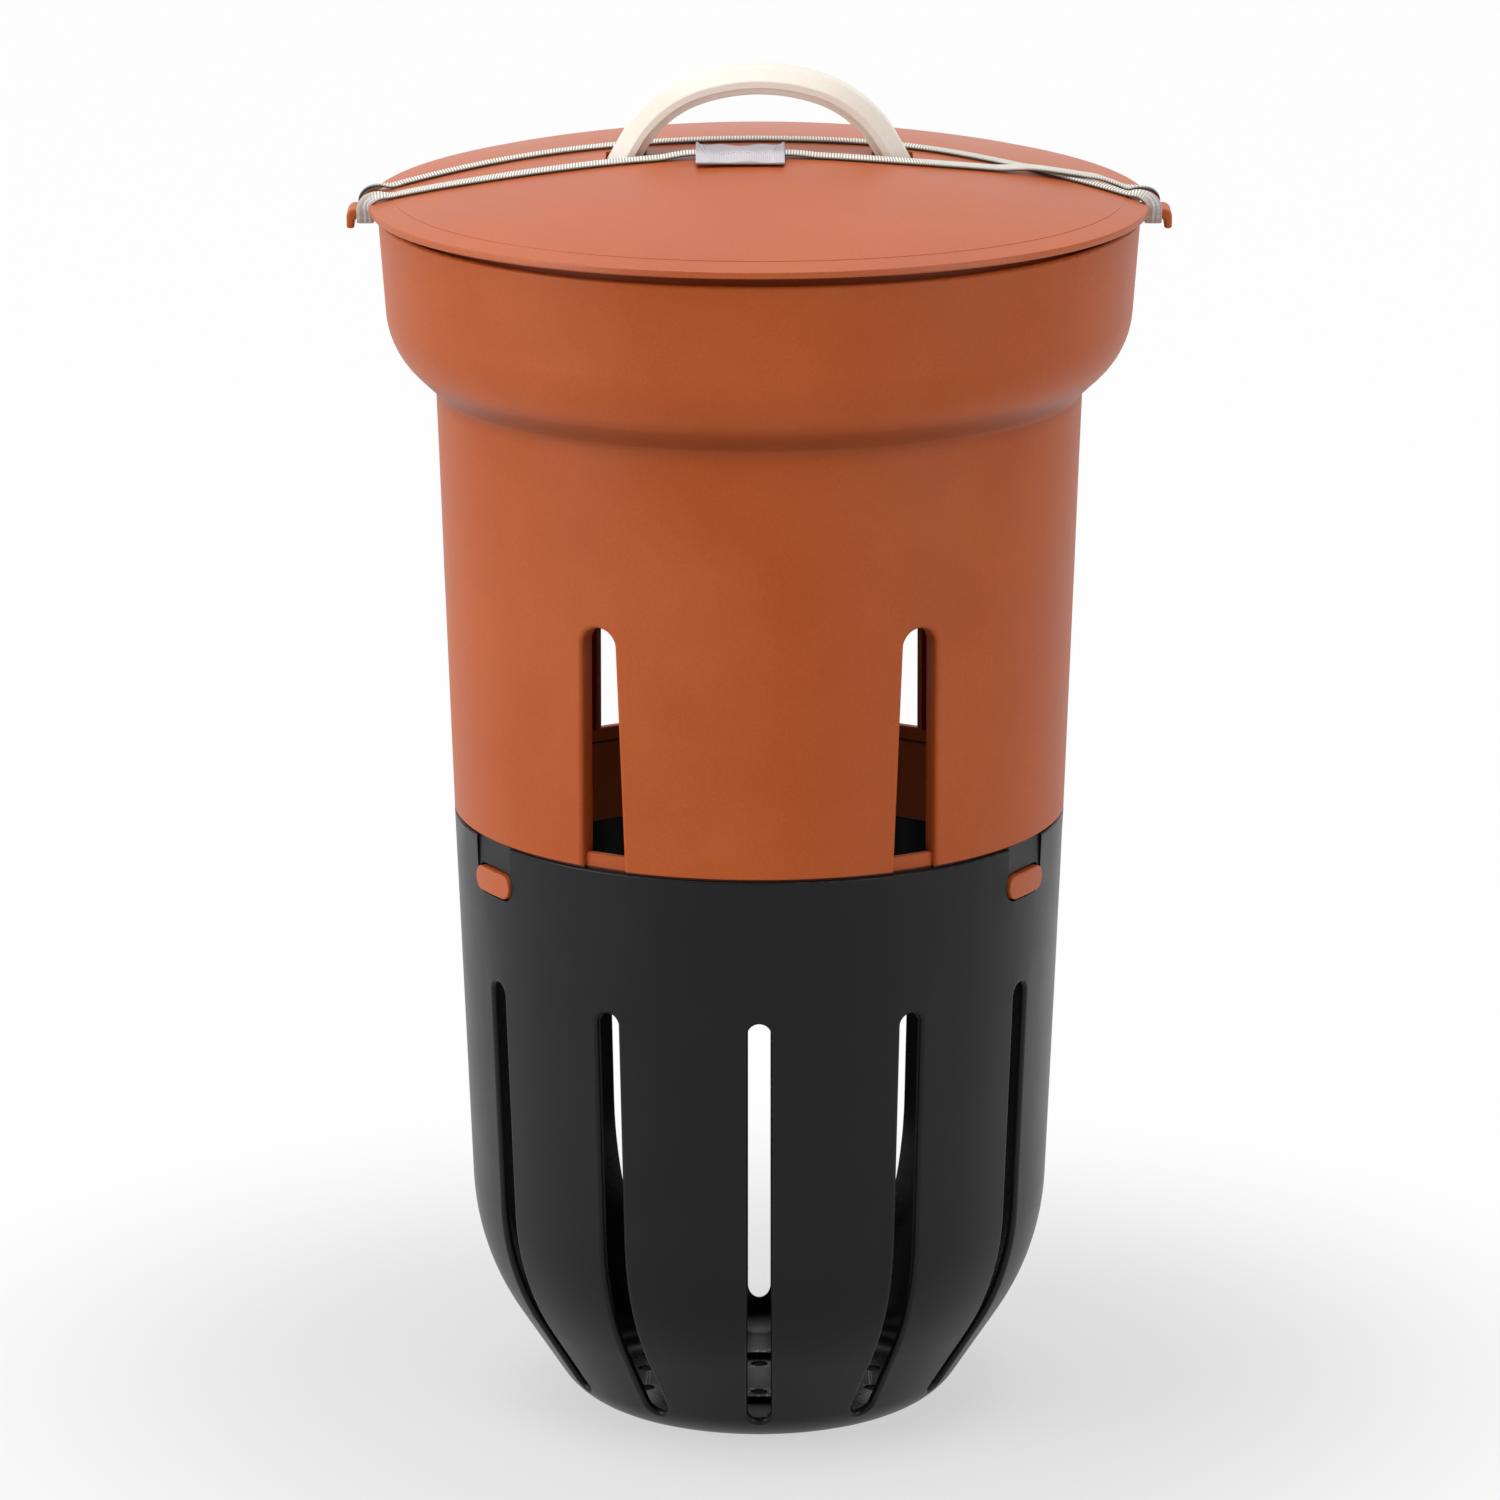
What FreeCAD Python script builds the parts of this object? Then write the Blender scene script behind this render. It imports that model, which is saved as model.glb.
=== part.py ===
import FreeCAD
import Part
import math
import os

# Worm composter: a slotted basket, a slotted barrel on it, a bowed lid with a handle, an elastic strap.
# Millimetres, +Z up, front towards -Y, the two strap ears along X.

V = FreeCAD.Vector
up = V(0, 0, 1)
origin = V(0, 0, 0)

# Basket: flat base, cone, shoulder and tapered wall
wall = 3.0
base_corner_radius = 73.2
base_round = 28.0
shoulder_corner_radius = 115.4
shoulder_corner_z = 64.4
shoulder_round = 105.0
basket_rim_radius = 123.0
basket_rim_z = 247.9
basket_rim_round = 0.8
basket_slots = 12
basket_slot_half = 4.7
basket_slot_low_z = 12.3
basket_slot_high_z = 189.2
basket_slot_edge_round = 1.7
floor_ring_radius = 30.0
floor_ring_width = 3.0
floor_ring_height = 2.0
drain_hole_radius = 3.5
drain_rings = [(48.0, 12, 15.0), (18.0, 6, 0.0)]
basket_cut_from_axis = 45.0
basket_cut_to_axis = 145.0

# Snap tabs and their windows in the basket
tab_angles = {"snap_tab_left": -60.0, "snap_tab_right": 60.0, "snap_tab_rear": 180.0}
tab_z = 231.2
tab_half_length = 13.4
tab_half_height = 4.9
tab_face_radius = 123.5
tab_face_round = 0.6
tab_window_gap_side = 0.8
tab_window_gap_height = 1.1
tab_channel_half = 13.5
tab_channel_depth_from_axis = 121.2
window_cut_from_axis = 110.0
window_cut_to_axis = 130.0
tongue_half_width = 14.0
tongue_thickness = 2.2
tongue_mid_from_axis = 116.2
tongue_root_z = 247.3
tongue_low_z = 217.0
tongue_side_gap = 0.6
tongue_room_from_axis = 105.0
hinge_gap = 0.1
hinge_block_half = 16.0
hinge_block_from_axis = 113.4
hinge_block_to_axis = 118.4

# Barrel: spigot, tapered wall, flared collar
barrel_low_radius = 123.1
barrel_low_z = 249.1
crease_radius = 129.0
crease_z = 421.0
collar_corner_radius = 147.7
collar_corner_z = 438.8
collar_round = 34.0
crease_round = 3.5
barrel_rim_radius = 151.5
barrel_rim_z = 490.7
barrel_rim_round = 1.2
joint_seat_radius = 121.6
spigot_top_z = 254.0
spigot_low_z = 215.0
spigot_seat_radius = 119.6
spigot_low_radius = 118.25
spigot_top_inner_radius = 116.8
spigot_low_inner_radius = 115.4
spigot_top_round = 0.8
spigot_inner_round = 0.6
spigot_outer_round = 1.0
barrel_slots = 6
barrel_slot_first_angle = 30.0
barrel_slot_arch_z = 339.4
barrel_slot_top_half = 7.4
barrel_slot_low_half = 9.4
barrel_slot_edge_round = 1.7
slot_flange = 2.2
slot_flange_depth = 5.0
barrel_cut_from_axis = 100.0
barrel_cut_to_axis = 140.0

# Ears of the barrel: arm over the rim, tip turned down
ear_half_width = 8.0
ear_root_radius = 149.0
ear_root_thickness = 1.4
ear_root_low_z = 484.0
ear_under_z = 489.0
ear_tip_inner = 160.6
ear_tip_outer = 163.7
ear_tip_low_z = 485.2
ear_top_z = 493.2
ear_outer_round = 3.2
ear_inner_round = 1.0
ear_edge_round = 1.2

# Lid: a shell with a smaller bend radius across X than along Y
lid_radius = 155.2
lid_top_z = 516.0
lid_bend_x = 605.0
lid_bend_y = 655.0
lid_thickness = 3.0
lid_step_radius = 145.5
lid_step = 0.15
lid_blank_height = 100.0
lid_blank_above = 10.0
dome_reach = 200.0
dome_foot = 120.0
dome_sweep = 25.0
lid_edge_round = 0.7
lid_skirt_radius = 141.0
lid_skirt_thickness = 2.4
lid_skirt_low_z = 474.0
notch_half_width = 14.5
notch_from_axis = 150.8
notch_to_axis = 160.2
notch_height = 60.0
boss_inner_x = 38.0
boss_outer_x = 72.0
boss_half_width = 14.5
boss_low_z = 506.0

# Handle: path of the outer crest, and the section inwards from it
handle_leg_low = (67.5, 499.0)
handle_corner = (44.0, 540.6)
handle_apex_z = 553.3
handle_corner_round = 52.0
handle_apex_round = 80.0
handle_half_depth = 9.0
handle_crest_half = 4.2
handle_height = 11.2
handle_slope_end = 5.5
handle_band_end = 8.3
handle_step = 2.2
handle_step_slope = 0.4
handle_crest_round = 2.5
handle_band_round = 1.2
handle_lip_round = 0.4
handle_inner_round = 1.0
handle_slot_gap = 1.1
handle_slot_length = 30.0
handle_slot_below = 5.0
barb_half_width = 6.0
barb_reach = 4.6
barb_height = 6.5
barb_lip = 1.5
barb_top_root = 4.0
barb_low_root = 6.0
barb_round = 0.4

# Elastic strap and its tag
strap_width = 6.8
strap_thickness = 1.7
strap_lift = 1.1
strap_end_x = 156.2
strap_bend = 2.15
# Route of a strand: place along X, then distance from the middle plane, below zero past the crossing
strap_route = [(-146.0, 11.0), (-100.0, 18.8), (-58.0, 18.8), (-28.0, 17.0), (28.0, 17.0),
               (58.0, 18.8), (146.0, -6.65)]
strap_steps = 52
strap_hook_top_z = 490.9
strap_crossing_x = 123.0
strap_crossing_half = 12.0
strap_crossing_lift = 1.95
strap_crossing_before = 20.0
strap_crossing_after = 11.0
# Corner stations: turn in degrees, then past, outwards of and below the end of the flat run
strap_left_corner = [(24.0, 4.6, 0.2, 0.1), (56.0, 8.6, 0.0, 2.0), (88.0, 10.2, -0.9, 4.8)]
strap_right_corner = [(24.0, 4.6, 0.6, 0.1), (56.0, 8.6, 1.9, 2.0), (88.0, 10.2, 2.8, 4.8)]
strap_full_turn = 120.0
tag_centre_x = -7.5
tag_length = 35.0
# Section of the tag: distance in front of the axis, height, corner radius
tag_section = [(35.0, 516.05, 0.5), (11.0, 516.2, 0.6), (11.0, 519.95, 1.6),
               (19.5, 519.75, 4.0), (35.0, 517.3, 0.5)]
tag_strap_y = 17.0
tag_strap_lift = 1.75
tag_rise_start = 1.0
tag_rise_length = 14.0
tag_tunnel_depth = 7.4
tag_tunnel_height = 2.1
tag_tunnel_round = 0.5

# Overlap of solids that are joined or cut, and the smallest length that counts
overlap = 1.0
tiny = 0.01


def at(radius, z):
    """Point of a profile in the XZ plane."""
    return V(radius, 0, z)


def rounded_corner(before, here, after, radius):
    """Start, middle and end of the arc that rounds a corner."""
    back = (before - here).normalize()
    ahead = (after - here).normalize()
    half = back.getAngle(ahead) / 2
    reach = radius / math.tan(half)
    middle = (back + ahead).normalize()
    centre = here + middle * (radius / math.sin(half))
    return here + back * reach, centre - middle * radius, here + ahead * reach


def rounded_wire(points, radii):
    """Closed wire through the points, each corner rounded by its radius."""
    count = len(points)
    corners = []
    for i in range(count):
        if radii[i] == 0:
            corners.append((points[i], None, points[i]))
        else:
            corners.append(rounded_corner(points[i - 1], points[i], points[(i + 1) % count], radii[i]))
    edges = []
    for i in range(count):
        start, mid, end = corners[i]
        if mid is not None:
            edges.append(Part.Arc(start, mid, end).toShape())
        following = corners[(i + 1) % count][0]
        if end.distanceToPoint(following) > tiny:
            edges.append(Part.makeLine(end, following))
    return Part.Wire(edges)


def inset(points, depth):
    """Open profile moved inwards by the wall thickness, with mitred corners."""
    normals = []
    for first, second in zip(points, points[1:]):
        along = (second - first).normalize()
        normals.append(V(-along.z, 0, along.x))
    moved = [points[0] + normals[0] * depth]
    for point, before, after in zip(points[1:], normals, normals[1:]):
        moved.append(point + (before + after) * (depth / (1 + before.dot(after))))
    moved.append(points[-1] + normals[-1] * depth)
    return moved


def turned(points, radii):
    """Solid of revolution about Z from a closed profile."""
    face = Part.Face(rounded_wire(points, radii))
    return face.revolve(origin, up, 360)


def radial(shape, angle):
    """Copy of a shape built at the front, turned about Z to its place."""
    placed = shape.copy()
    placed.rotate(origin, up, angle)
    return placed


def front_prism(wire, near, far):
    """Prism of an XZ wire, running outwards at the front from one distance to another."""
    face = Part.Face(wire)
    face.translate(V(0, -near, 0))
    return face.extrude(V(0, near - far, 0))


def upright_slot(half, low_z, high_z):
    """Slot outline with both ends round."""
    low = low_z + half
    high = high_z - half
    left = Part.makeLine(at(-half, low), at(-half, high))
    top = Part.Arc(at(-half, high), at(0, high_z), at(half, high)).toShape()
    right = Part.makeLine(at(half, high), at(half, low))
    bottom = Part.Arc(at(half, low), at(0, low_z), at(-half, low)).toShape()
    return Part.Wire([left, top, right, bottom])


def lying_slot(half_length, half_height, z):
    """Slot outline lying across, with both ends round."""
    straight = half_length - half_height
    high = z + half_height
    low = z - half_height
    top = Part.makeLine(at(-straight, high), at(straight, high))
    right = Part.Arc(at(straight, high), at(half_length, z), at(straight, low)).toShape()
    bottom = Part.makeLine(at(straight, low), at(-straight, low))
    left = Part.Arc(at(-straight, low), at(-half_length, z), at(-straight, high)).toShape()
    return Part.Wire([top, right, bottom, left])


def front_box(half_width, near, far, low_z, high_z):
    """Box at the front, between two distances from the axis."""
    return Part.makeBox(2 * half_width, far - near, high_z - low_z, V(-half_width, -far, low_z))


def slot_rims(body, low_z, high_z):
    """Edges where the sides of upright slots meet the outer skin between two heights."""
    rims = []
    for edge in body.Edges:
        middle = edge.valueAt((edge.FirstParameter + edge.LastParameter) / 2)
        level = edge.BoundBox.ZLength < 10 * tiny
        if level or not low_z < middle.z < high_z:
            continue
        side = None
        skin = None
        for face in body.ancestorsOfType(edge, Part.Face):
            if face.Surface.TypeId in ("Part::GeomPlane", "Part::GeomCylinder"):
                side = face
            if face.Surface.TypeId in ("Part::GeomCone", "Part::GeomToroid"):
                skin = face
        if side is None or skin is None:
            continue
        u, v = skin.Surface.parameter(middle)
        if skin.normalAt(u, v).dot(V(middle.x, middle.y, 0)) > 0:
            rims.append(edge)
    return rims


def make_basket():
    """Lower vessel with slots, drain holes and the windows of the snap tabs."""
    outer = [at(0, 0), at(base_corner_radius, 0), at(shoulder_corner_radius, shoulder_corner_z),
             at(basket_rim_radius, basket_rim_z)]
    inner = inset(outer, wall)
    inner[3] = at(inner[3].x, basket_rim_z)
    radii = [0, base_round, shoulder_round, basket_rim_round,
             basket_rim_round, shoulder_round - wall, base_round - wall, 0]
    body = turned(outer + inner[::-1], radii)
    rib = Part.makeCylinder(floor_ring_radius, wall + floor_ring_height)
    rib = rib.cut(Part.makeCylinder(floor_ring_radius - floor_ring_width, wall + floor_ring_height))
    body = body.fuse(rib)
    cutters = []
    slot = front_prism(upright_slot(basket_slot_half, basket_slot_low_z, basket_slot_high_z),
                       basket_cut_from_axis, basket_cut_to_axis)
    for i in range(basket_slots):
        cutters.append(radial(slot, i * 360 / basket_slots))
    body = body.cut(cutters)
    rims = slot_rims(body, basket_slot_low_z - overlap, basket_slot_high_z + overlap)
    body = body.makeFillet(basket_slot_edge_round, rims)
    cutters = []
    for ring_radius, count, first in drain_rings:
        for i in range(count):
            hole = Part.makeCylinder(drain_hole_radius, 4 * wall, V(0, -ring_radius, -wall))
            cutters.append(radial(hole, first + i * 360 / count))
    window = lying_slot(tab_half_length + tab_window_gap_side, tab_half_height + tab_window_gap_height, tab_z)
    opening = front_prism(window, window_cut_from_axis, window_cut_to_axis)
    channel = front_box(tab_channel_half, tab_channel_depth_from_axis, window_cut_to_axis,
                        tab_z, basket_rim_z + overlap)
    for angle in tab_angles.values():
        cutters.append(radial(opening, angle))
        cutters.append(radial(channel, angle))
    return body.cut(cutters)


def barrel_slot_half(z):
    """Half width of a barrel slot at a height on its straight sides."""
    spread = (barrel_slot_low_half - barrel_slot_top_half) / (barrel_slot_arch_z - barrel_low_z)
    return barrel_slot_top_half + spread * (barrel_slot_arch_z - z)


def barrel_slot_wire(grow, low_z):
    """Outline of a barrel slot with a round top, widened all round by grow."""
    top = barrel_slot_top_half + grow
    low = barrel_slot_half(low_z) + grow
    left = Part.makeLine(at(-low, low_z), at(-top, barrel_slot_arch_z))
    arch = Part.Arc(at(-top, barrel_slot_arch_z), at(0, barrel_slot_arch_z + top),
                    at(top, barrel_slot_arch_z)).toShape()
    right = Part.makeLine(at(top, barrel_slot_arch_z), at(low, low_z))
    bottom = Part.makeLine(at(low, low_z), at(-low, low_z))
    return Part.Wire([left, arch, right, bottom])


def make_ear():
    """Hooked ear on the +X side of the barrel's rim."""
    root_face = ear_root_radius + ear_root_thickness
    points = [at(ear_root_radius, ear_root_low_z), at(root_face, ear_root_low_z),
              at(root_face, ear_under_z), at(ear_tip_inner, ear_under_z),
              at(ear_tip_inner, ear_tip_low_z), at(ear_tip_outer, ear_tip_low_z),
              at(ear_tip_outer, ear_top_z), at(ear_root_radius, ear_top_z)]
    radii = [0, 0, 0, ear_inner_round, ear_inner_round, ear_inner_round, ear_outer_round, ear_inner_round]
    face = Part.Face(rounded_wire(points, radii))
    face.translate(V(0, -ear_half_width, 0))
    ear = face.extrude(V(0, 2 * ear_half_width, 0))
    under = []
    for edge in ear.Edges:
        box = edge.BoundBox
        level = box.ZLength < tiny and abs(box.ZMin - ear_under_z) < tiny
        if level and box.YLength < tiny and box.XLength > ear_half_width / 2:
            under.append(edge)
    return ear.makeFillet(ear_edge_round, under)


def make_barrel():
    """Upper vessel with its spigot, slots, hinge blocks of the tabs and two ears."""
    outer = [at(barrel_low_radius, barrel_low_z), at(crease_radius, crease_z),
             at(collar_corner_radius, collar_corner_z), at(barrel_rim_radius, barrel_rim_z)]
    inner = inset(outer, wall)
    inner[3] = at(inner[3].x, barrel_rim_z)
    taper = (inner[1].x - inner[0].x) / (inner[1].z - inner[0].z)
    ledge_radius = inner[0].x + taper * (spigot_top_z - inner[0].z)
    points = [at(joint_seat_radius, basket_rim_z), at(joint_seat_radius, barrel_low_z)]
    points += outer + inner[:0:-1]
    points += [at(ledge_radius, spigot_top_z), at(spigot_top_inner_radius, spigot_top_z),
               at(spigot_low_inner_radius, spigot_low_z), at(spigot_low_radius, spigot_low_z),
               at(spigot_seat_radius, basket_rim_z)]
    radii = [0, 0, 0, crease_round, collar_round, barrel_rim_round,
             barrel_rim_round, collar_round - wall, 0, 0,
             spigot_top_round, spigot_inner_round, spigot_outer_round, 0]
    body = turned(points, radii)

    low = inner[0]
    high_z = barrel_slot_arch_z + barrel_slot_top_half + 2 * slot_flange
    high_radius = low.x + taper * (high_z - low.z)
    band = turned([at(ledge_radius - slot_flange_depth, spigot_top_z),
                   at(ledge_radius + overlap, spigot_top_z), at(high_radius + overlap, high_z),
                   at(high_radius - slot_flange_depth, high_z)], [0, 0, 0, 0])
    near = barrel_cut_from_axis
    far = barrel_cut_to_axis
    flange = front_prism(barrel_slot_wire(slot_flange, spigot_top_z), near, far).common(band)
    through = front_prism(barrel_slot_wire(0, spigot_top_z), near, far)
    foot_z = basket_rim_z - overlap
    low_half = barrel_slot_half(foot_z)
    high_half = barrel_slot_half(spigot_top_z)
    foot = Part.makePolygon([at(-low_half, foot_z), at(-high_half, spigot_top_z),
                             at(high_half, spigot_top_z), at(low_half, foot_z), at(-low_half, foot_z)])
    below = front_prism(foot, near, far)
    below = below.cut(Part.makeCylinder(ledge_radius, barrel_rim_z))
    opening = through.fuse(below).removeSplitter()
    flanges = []
    openings = []
    for i in range(barrel_slots):
        angle = barrel_slot_first_angle + i * 360 / barrel_slots
        flanges.append(radial(flange, angle))
        openings.append(radial(opening, angle))
    body = body.fuse(flanges).removeSplitter().cut(openings).removeSplitter()
    body = body.makeFillet(barrel_slot_edge_round, slot_rims(body, barrel_low_z + overlap, high_z))

    added = []
    removed = []
    block = front_box(hinge_block_half, hinge_block_from_axis, hinge_block_to_axis,
                      tongue_root_z, spigot_top_z)
    groove_half = tongue_half_width + tongue_side_gap
    gap = front_box(groove_half, tongue_room_from_axis, spigot_seat_radius + hinge_gap,
                    spigot_low_z - overlap, tongue_root_z)
    groove = Part.makeCylinder(tongue_thickness / 2 + hinge_gap, 2 * groove_half,
                               V(-groove_half, -tongue_mid_from_axis, tongue_root_z), V(1, 0, 0))
    for angle in tab_angles.values():
        added.append(radial(block, angle))
        removed.append(radial(gap, angle))
        removed.append(radial(groove, angle))

    ear = make_ear()
    added.append(ear)
    added.append(radial(ear, 180))
    return body.fuse(added).removeSplitter().cut(removed)


def make_snap_tab(angle):
    """Spring tongue with a round root on its bending line, and the button on it."""
    near = tongue_mid_from_axis - tongue_thickness / 2
    far = tongue_mid_from_axis + tongue_thickness / 2
    plate = front_box(tongue_half_width, near, far, tongue_low_z, tongue_root_z)
    root = Part.makeCylinder(tongue_thickness / 2, 2 * tongue_half_width,
                             V(-tongue_half_width, -tongue_mid_from_axis, tongue_root_z), V(1, 0, 0))
    button = front_prism(lying_slot(tab_half_length, tab_half_height, tab_z),
                         tongue_mid_from_axis, tab_face_radius + overlap)
    button = button.common(Part.makeCylinder(tab_face_radius, barrel_rim_z))
    rim = []
    for edge in button.Edges:
        if edge.BoundBox.YMax < overlap - tab_face_radius:
            rim.append(edge)
    button = button.makeFillet(tab_face_round, rim)
    tab = plate.fuse([root, button]).removeSplitter()
    return radial(tab, angle)


def dome_height(x, y):
    """Height of the lid's upper surface."""
    arc = lid_bend_x - lid_bend_y + math.sqrt(lid_bend_y ** 2 - y ** 2)
    return lid_top_z - lid_bend_x + math.sqrt(arc ** 2 - x ** 2)


def under_dome(depth):
    """Solid below the lid's upper surface moved down by depth."""
    low_z = lid_top_z - dome_foot
    top_z = lid_top_z - depth
    bend_x = lid_bend_x - depth
    bend_y = lid_bend_y - depth
    side_z = top_z - bend_y + math.sqrt(bend_y ** 2 - dome_reach ** 2)
    arc = Part.Arc(V(0, -dome_reach, side_z), V(0, 0, top_z), V(0, dome_reach, side_z)).toShape()
    right = Part.makeLine(V(0, dome_reach, side_z), V(0, dome_reach, low_z))
    bottom = Part.makeLine(V(0, dome_reach, low_z), V(0, -dome_reach, low_z))
    left = Part.makeLine(V(0, -dome_reach, low_z), V(0, -dome_reach, side_z))
    face = Part.Face(Part.Wire([arc, right, bottom, left]))
    pivot = V(0, 0, top_z - bend_x)
    face.rotate(pivot, V(0, 1, 0), -dome_sweep)
    return face.revolve(pivot, V(0, 1, 0), 2 * dome_sweep)


def handle_leg_slope():
    """Unit vector up the right leg of the handle."""
    return (at(*handle_corner) - at(*handle_leg_low)).normalize()


def make_lid():
    """Bowed shell with a low step, a skirt, bosses and slots for the handle, and notches at the ears."""
    blank_top = lid_top_z + lid_blank_above
    blank_low = V(0, 0, blank_top - lid_blank_height)
    disc = Part.makeCylinder(lid_radius, lid_blank_height, blank_low)
    middle = Part.makeCylinder(lid_step_radius, lid_blank_height, blank_low)
    plate = disc.common(under_dome(lid_step)).fuse(middle.common(under_dome(0)))
    plate = plate.cut(under_dome(lid_thickness))
    rims = []
    for edge in plate.Edges:
        box = edge.BoundBox
        wide = box.XLength > lid_radius or box.YLength > lid_radius
        if wide and max(box.XMax, -box.XMin, box.YMax, -box.YMin) > lid_radius - overlap:
            rims.append(edge)
    plate = plate.makeFillet(lid_edge_round, rims)
    fill = under_dome(lid_thickness / 2)
    skirt_height = lid_top_z - lid_skirt_low_z
    skirt = Part.makeCylinder(lid_skirt_radius, skirt_height, V(0, 0, lid_skirt_low_z))
    skirt = skirt.cut(Part.makeCylinder(lid_skirt_radius - lid_skirt_thickness, skirt_height,
                                        V(0, 0, lid_skirt_low_z)))
    added = [skirt.common(fill)]
    removed = []
    slope = handle_leg_slope()
    across = V(slope.z, 0, -slope.x)
    for side in (-1, 1):
        boss_x = boss_inner_x if side > 0 else -boss_outer_x
        boss = Part.makeBox(boss_outer_x - boss_inner_x, 2 * boss_half_width, lid_top_z - boss_low_z,
                            V(boss_x, -boss_half_width, boss_low_z))
        added.append(boss.common(fill))
        low = at(*handle_leg_low) - slope * handle_slot_below
        corner = low + across * handle_slot_gap + V(0, -handle_half_depth - handle_slot_gap, 0)
        inward = across * (-handle_height - 2 * handle_slot_gap)
        depth = V(0, 2 * (handle_half_depth + handle_slot_gap), 0)
        outline = Part.makePolygon([corner, corner + inward, corner + inward + depth, corner + depth, corner])
        slot = Part.Face(outline).extrude(slope * handle_slot_length)
        if side < 0:
            slot = slot.mirror(origin, V(1, 0, 0))
        removed.append(slot)
        notch_x = notch_from_axis if side > 0 else -notch_to_axis
        removed.append(Part.makeBox(notch_to_axis - notch_from_axis, 2 * notch_half_width, notch_height,
                                    V(notch_x, -notch_half_width, blank_top - notch_height)))
    return plate.fuse(added).removeSplitter().cut(removed)


def handle_section():
    """Closed section of the handle at the foot of its right leg, square to the leg."""
    slope = handle_leg_slope()
    across = V(slope.z, 0, -slope.x)
    foot = at(*handle_leg_low)
    full = handle_half_depth
    under = handle_half_depth - handle_step
    half = [(handle_crest_half, 0, handle_crest_round),
            (full, handle_slope_end, handle_band_round),
            (full, handle_band_end, handle_lip_round),
            (under, handle_band_end + handle_step_slope, 0),
            (under, handle_height, handle_inner_round)]
    points = []
    radii = []
    for depth, inward, radius in half:
        points.append(foot + V(0, depth, 0) - across * inward)
        radii.append(radius)
    for depth, inward, radius in half[::-1]:
        points.append(foot + V(0, -depth, 0) - across * inward)
        radii.append(radius)
    return rounded_wire(points, radii)


def handle_path():
    """Path of the handle's outer crest from the right foot to the left foot."""
    foot = at(*handle_leg_low)
    corner = at(*handle_corner)
    apex = at(0, handle_apex_z)
    left_corner = V(-corner.x, 0, corner.z)
    left_foot = V(-foot.x, 0, foot.z)
    points = [foot, corner, apex, left_corner, left_foot]
    radii = [handle_corner_round, handle_apex_round, handle_corner_round]
    edges = []
    last = foot
    for before, here, after, radius in zip(points, points[1:], points[2:], radii):
        start, mid, end = rounded_corner(before, here, after, radius)
        edges.append(Part.makeLine(last, start))
        edges.append(Part.Arc(start, mid, end).toShape())
        last = end
    edges.append(Part.makeLine(last, left_foot))
    return Part.Wire(edges)


def make_handle():
    """Arched grip swept along its crest, with a barb under the lid on each leg."""
    grip = handle_path().makePipeShell([handle_section()], True, False)
    slope = handle_leg_slope()
    foot = at(*handle_leg_low)
    top = foot + slope * ((boss_low_z - foot.z) / slope.z)
    low_z = boss_low_z - barb_height
    points = [at(top.x - barb_top_root, boss_low_z), at(top.x + barb_reach, boss_low_z),
              at(top.x + barb_reach, boss_low_z - barb_lip), at(top.x, low_z),
              at(top.x - barb_low_root, low_z)]
    face = Part.Face(rounded_wire(points, [0, barb_round, barb_round, barb_round, 0]))
    face.translate(V(0, -barb_half_width, 0))
    barb = face.extrude(V(0, 2 * barb_half_width, 0))
    other = barb.mirror(origin, V(1, 0, 0))
    below = Part.makeBox(2 * lid_radius, 2 * lid_radius, low_z, V(-lid_radius, -lid_radius, 0))
    return grip.fuse([barb, other]).removeSplitter().cut(below)


def eased(share):
    """Soft step from 0 to 1 as the share goes from 0 to 1."""
    share = max(0.0, min(1.0, share))
    return share * share * (3 - 2 * share)


def strap_offset(x):
    """Distance of the strands from the middle plane at a place along X."""
    for (x0, y0), (x1, y1) in zip(strap_route, strap_route[1:]):
        if x <= x1:
            return y0 + (y1 - y0) * (x - x0) / (x1 - x0)
    return strap_route[-1][1]


def crossing_rise(x):
    """Lift of the front strand where it passes over the back one."""
    before = (strap_crossing_x - strap_crossing_half - x) / strap_crossing_before
    after = (x - strap_crossing_x - strap_crossing_half) / strap_crossing_after
    return strap_crossing_lift * (1 - eased(max(before, after)))


def tag_share(x):
    """Share of the front strand's height that the tag sets, 1 within it and 0 well beside it."""
    away = (abs(x - tag_centre_x) - tag_length / 2 - tag_rise_start) / tag_rise_length
    return 1 - eased(away)


def tag_strap_z():
    """Height of the strap's middle in the tag."""
    return dome_height(tag_centre_x, tag_strap_y) + tag_strap_lift


def strap_flat_run(front):
    """Centres, width directions and normals of a strand where it lies on the lid."""
    first = strap_route[0][0]
    last = strap_route[-1][0]
    run = []
    for i in range(strap_steps + 1):
        x = first + (last - first) * i / strap_steps
        y = -strap_offset(x) if front else strap_offset(x)
        normal = V(x / lid_bend_x, y / lid_bend_y, 1).normalize()
        width = (V(0, 1, 0) - normal * normal.y).normalize()
        z = dome_height(x, y) + strap_lift
        if front:
            z += crossing_rise(x)
            z += (tag_strap_z() - z) * tag_share(x)
        run.append((V(x, y, z), width, normal))
    return run


def strap_corner_run(last, stations):
    """Stations from the front end of a flat run at the right, twisting to hang beside the ear."""
    steps = []
    for angle, past, outwards, down in stations:
        steps.append((angle, last[0] + V(past, -outwards, -down)))
    hook_y = ear_half_width - ear_edge_round + strap_bend
    steps.append((strap_full_turn, V(strap_end_x, -hook_y, strap_hook_top_z)))
    run = [last]
    for angle, centre in steps:
        turn = FreeCAD.Rotation(V(1, 1, -1), angle)
        run.append((centre, turn.multVec(V(0, 1, 0)), turn.multVec(V(0, 0, 1))))
    return run


def strap_loft(run):
    """Flat band through the stations of a run."""
    wires = []
    for centre, width, normal in run:
        side = width * (strap_width / 2)
        face = normal * (strap_thickness / 2)
        corners = [centre - side - face, centre + side - face, centre + side + face, centre - side + face]
        wires.append(Part.makePolygon(corners + corners[:1]))
    return Part.makeLoft(wires, True, False)


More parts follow.
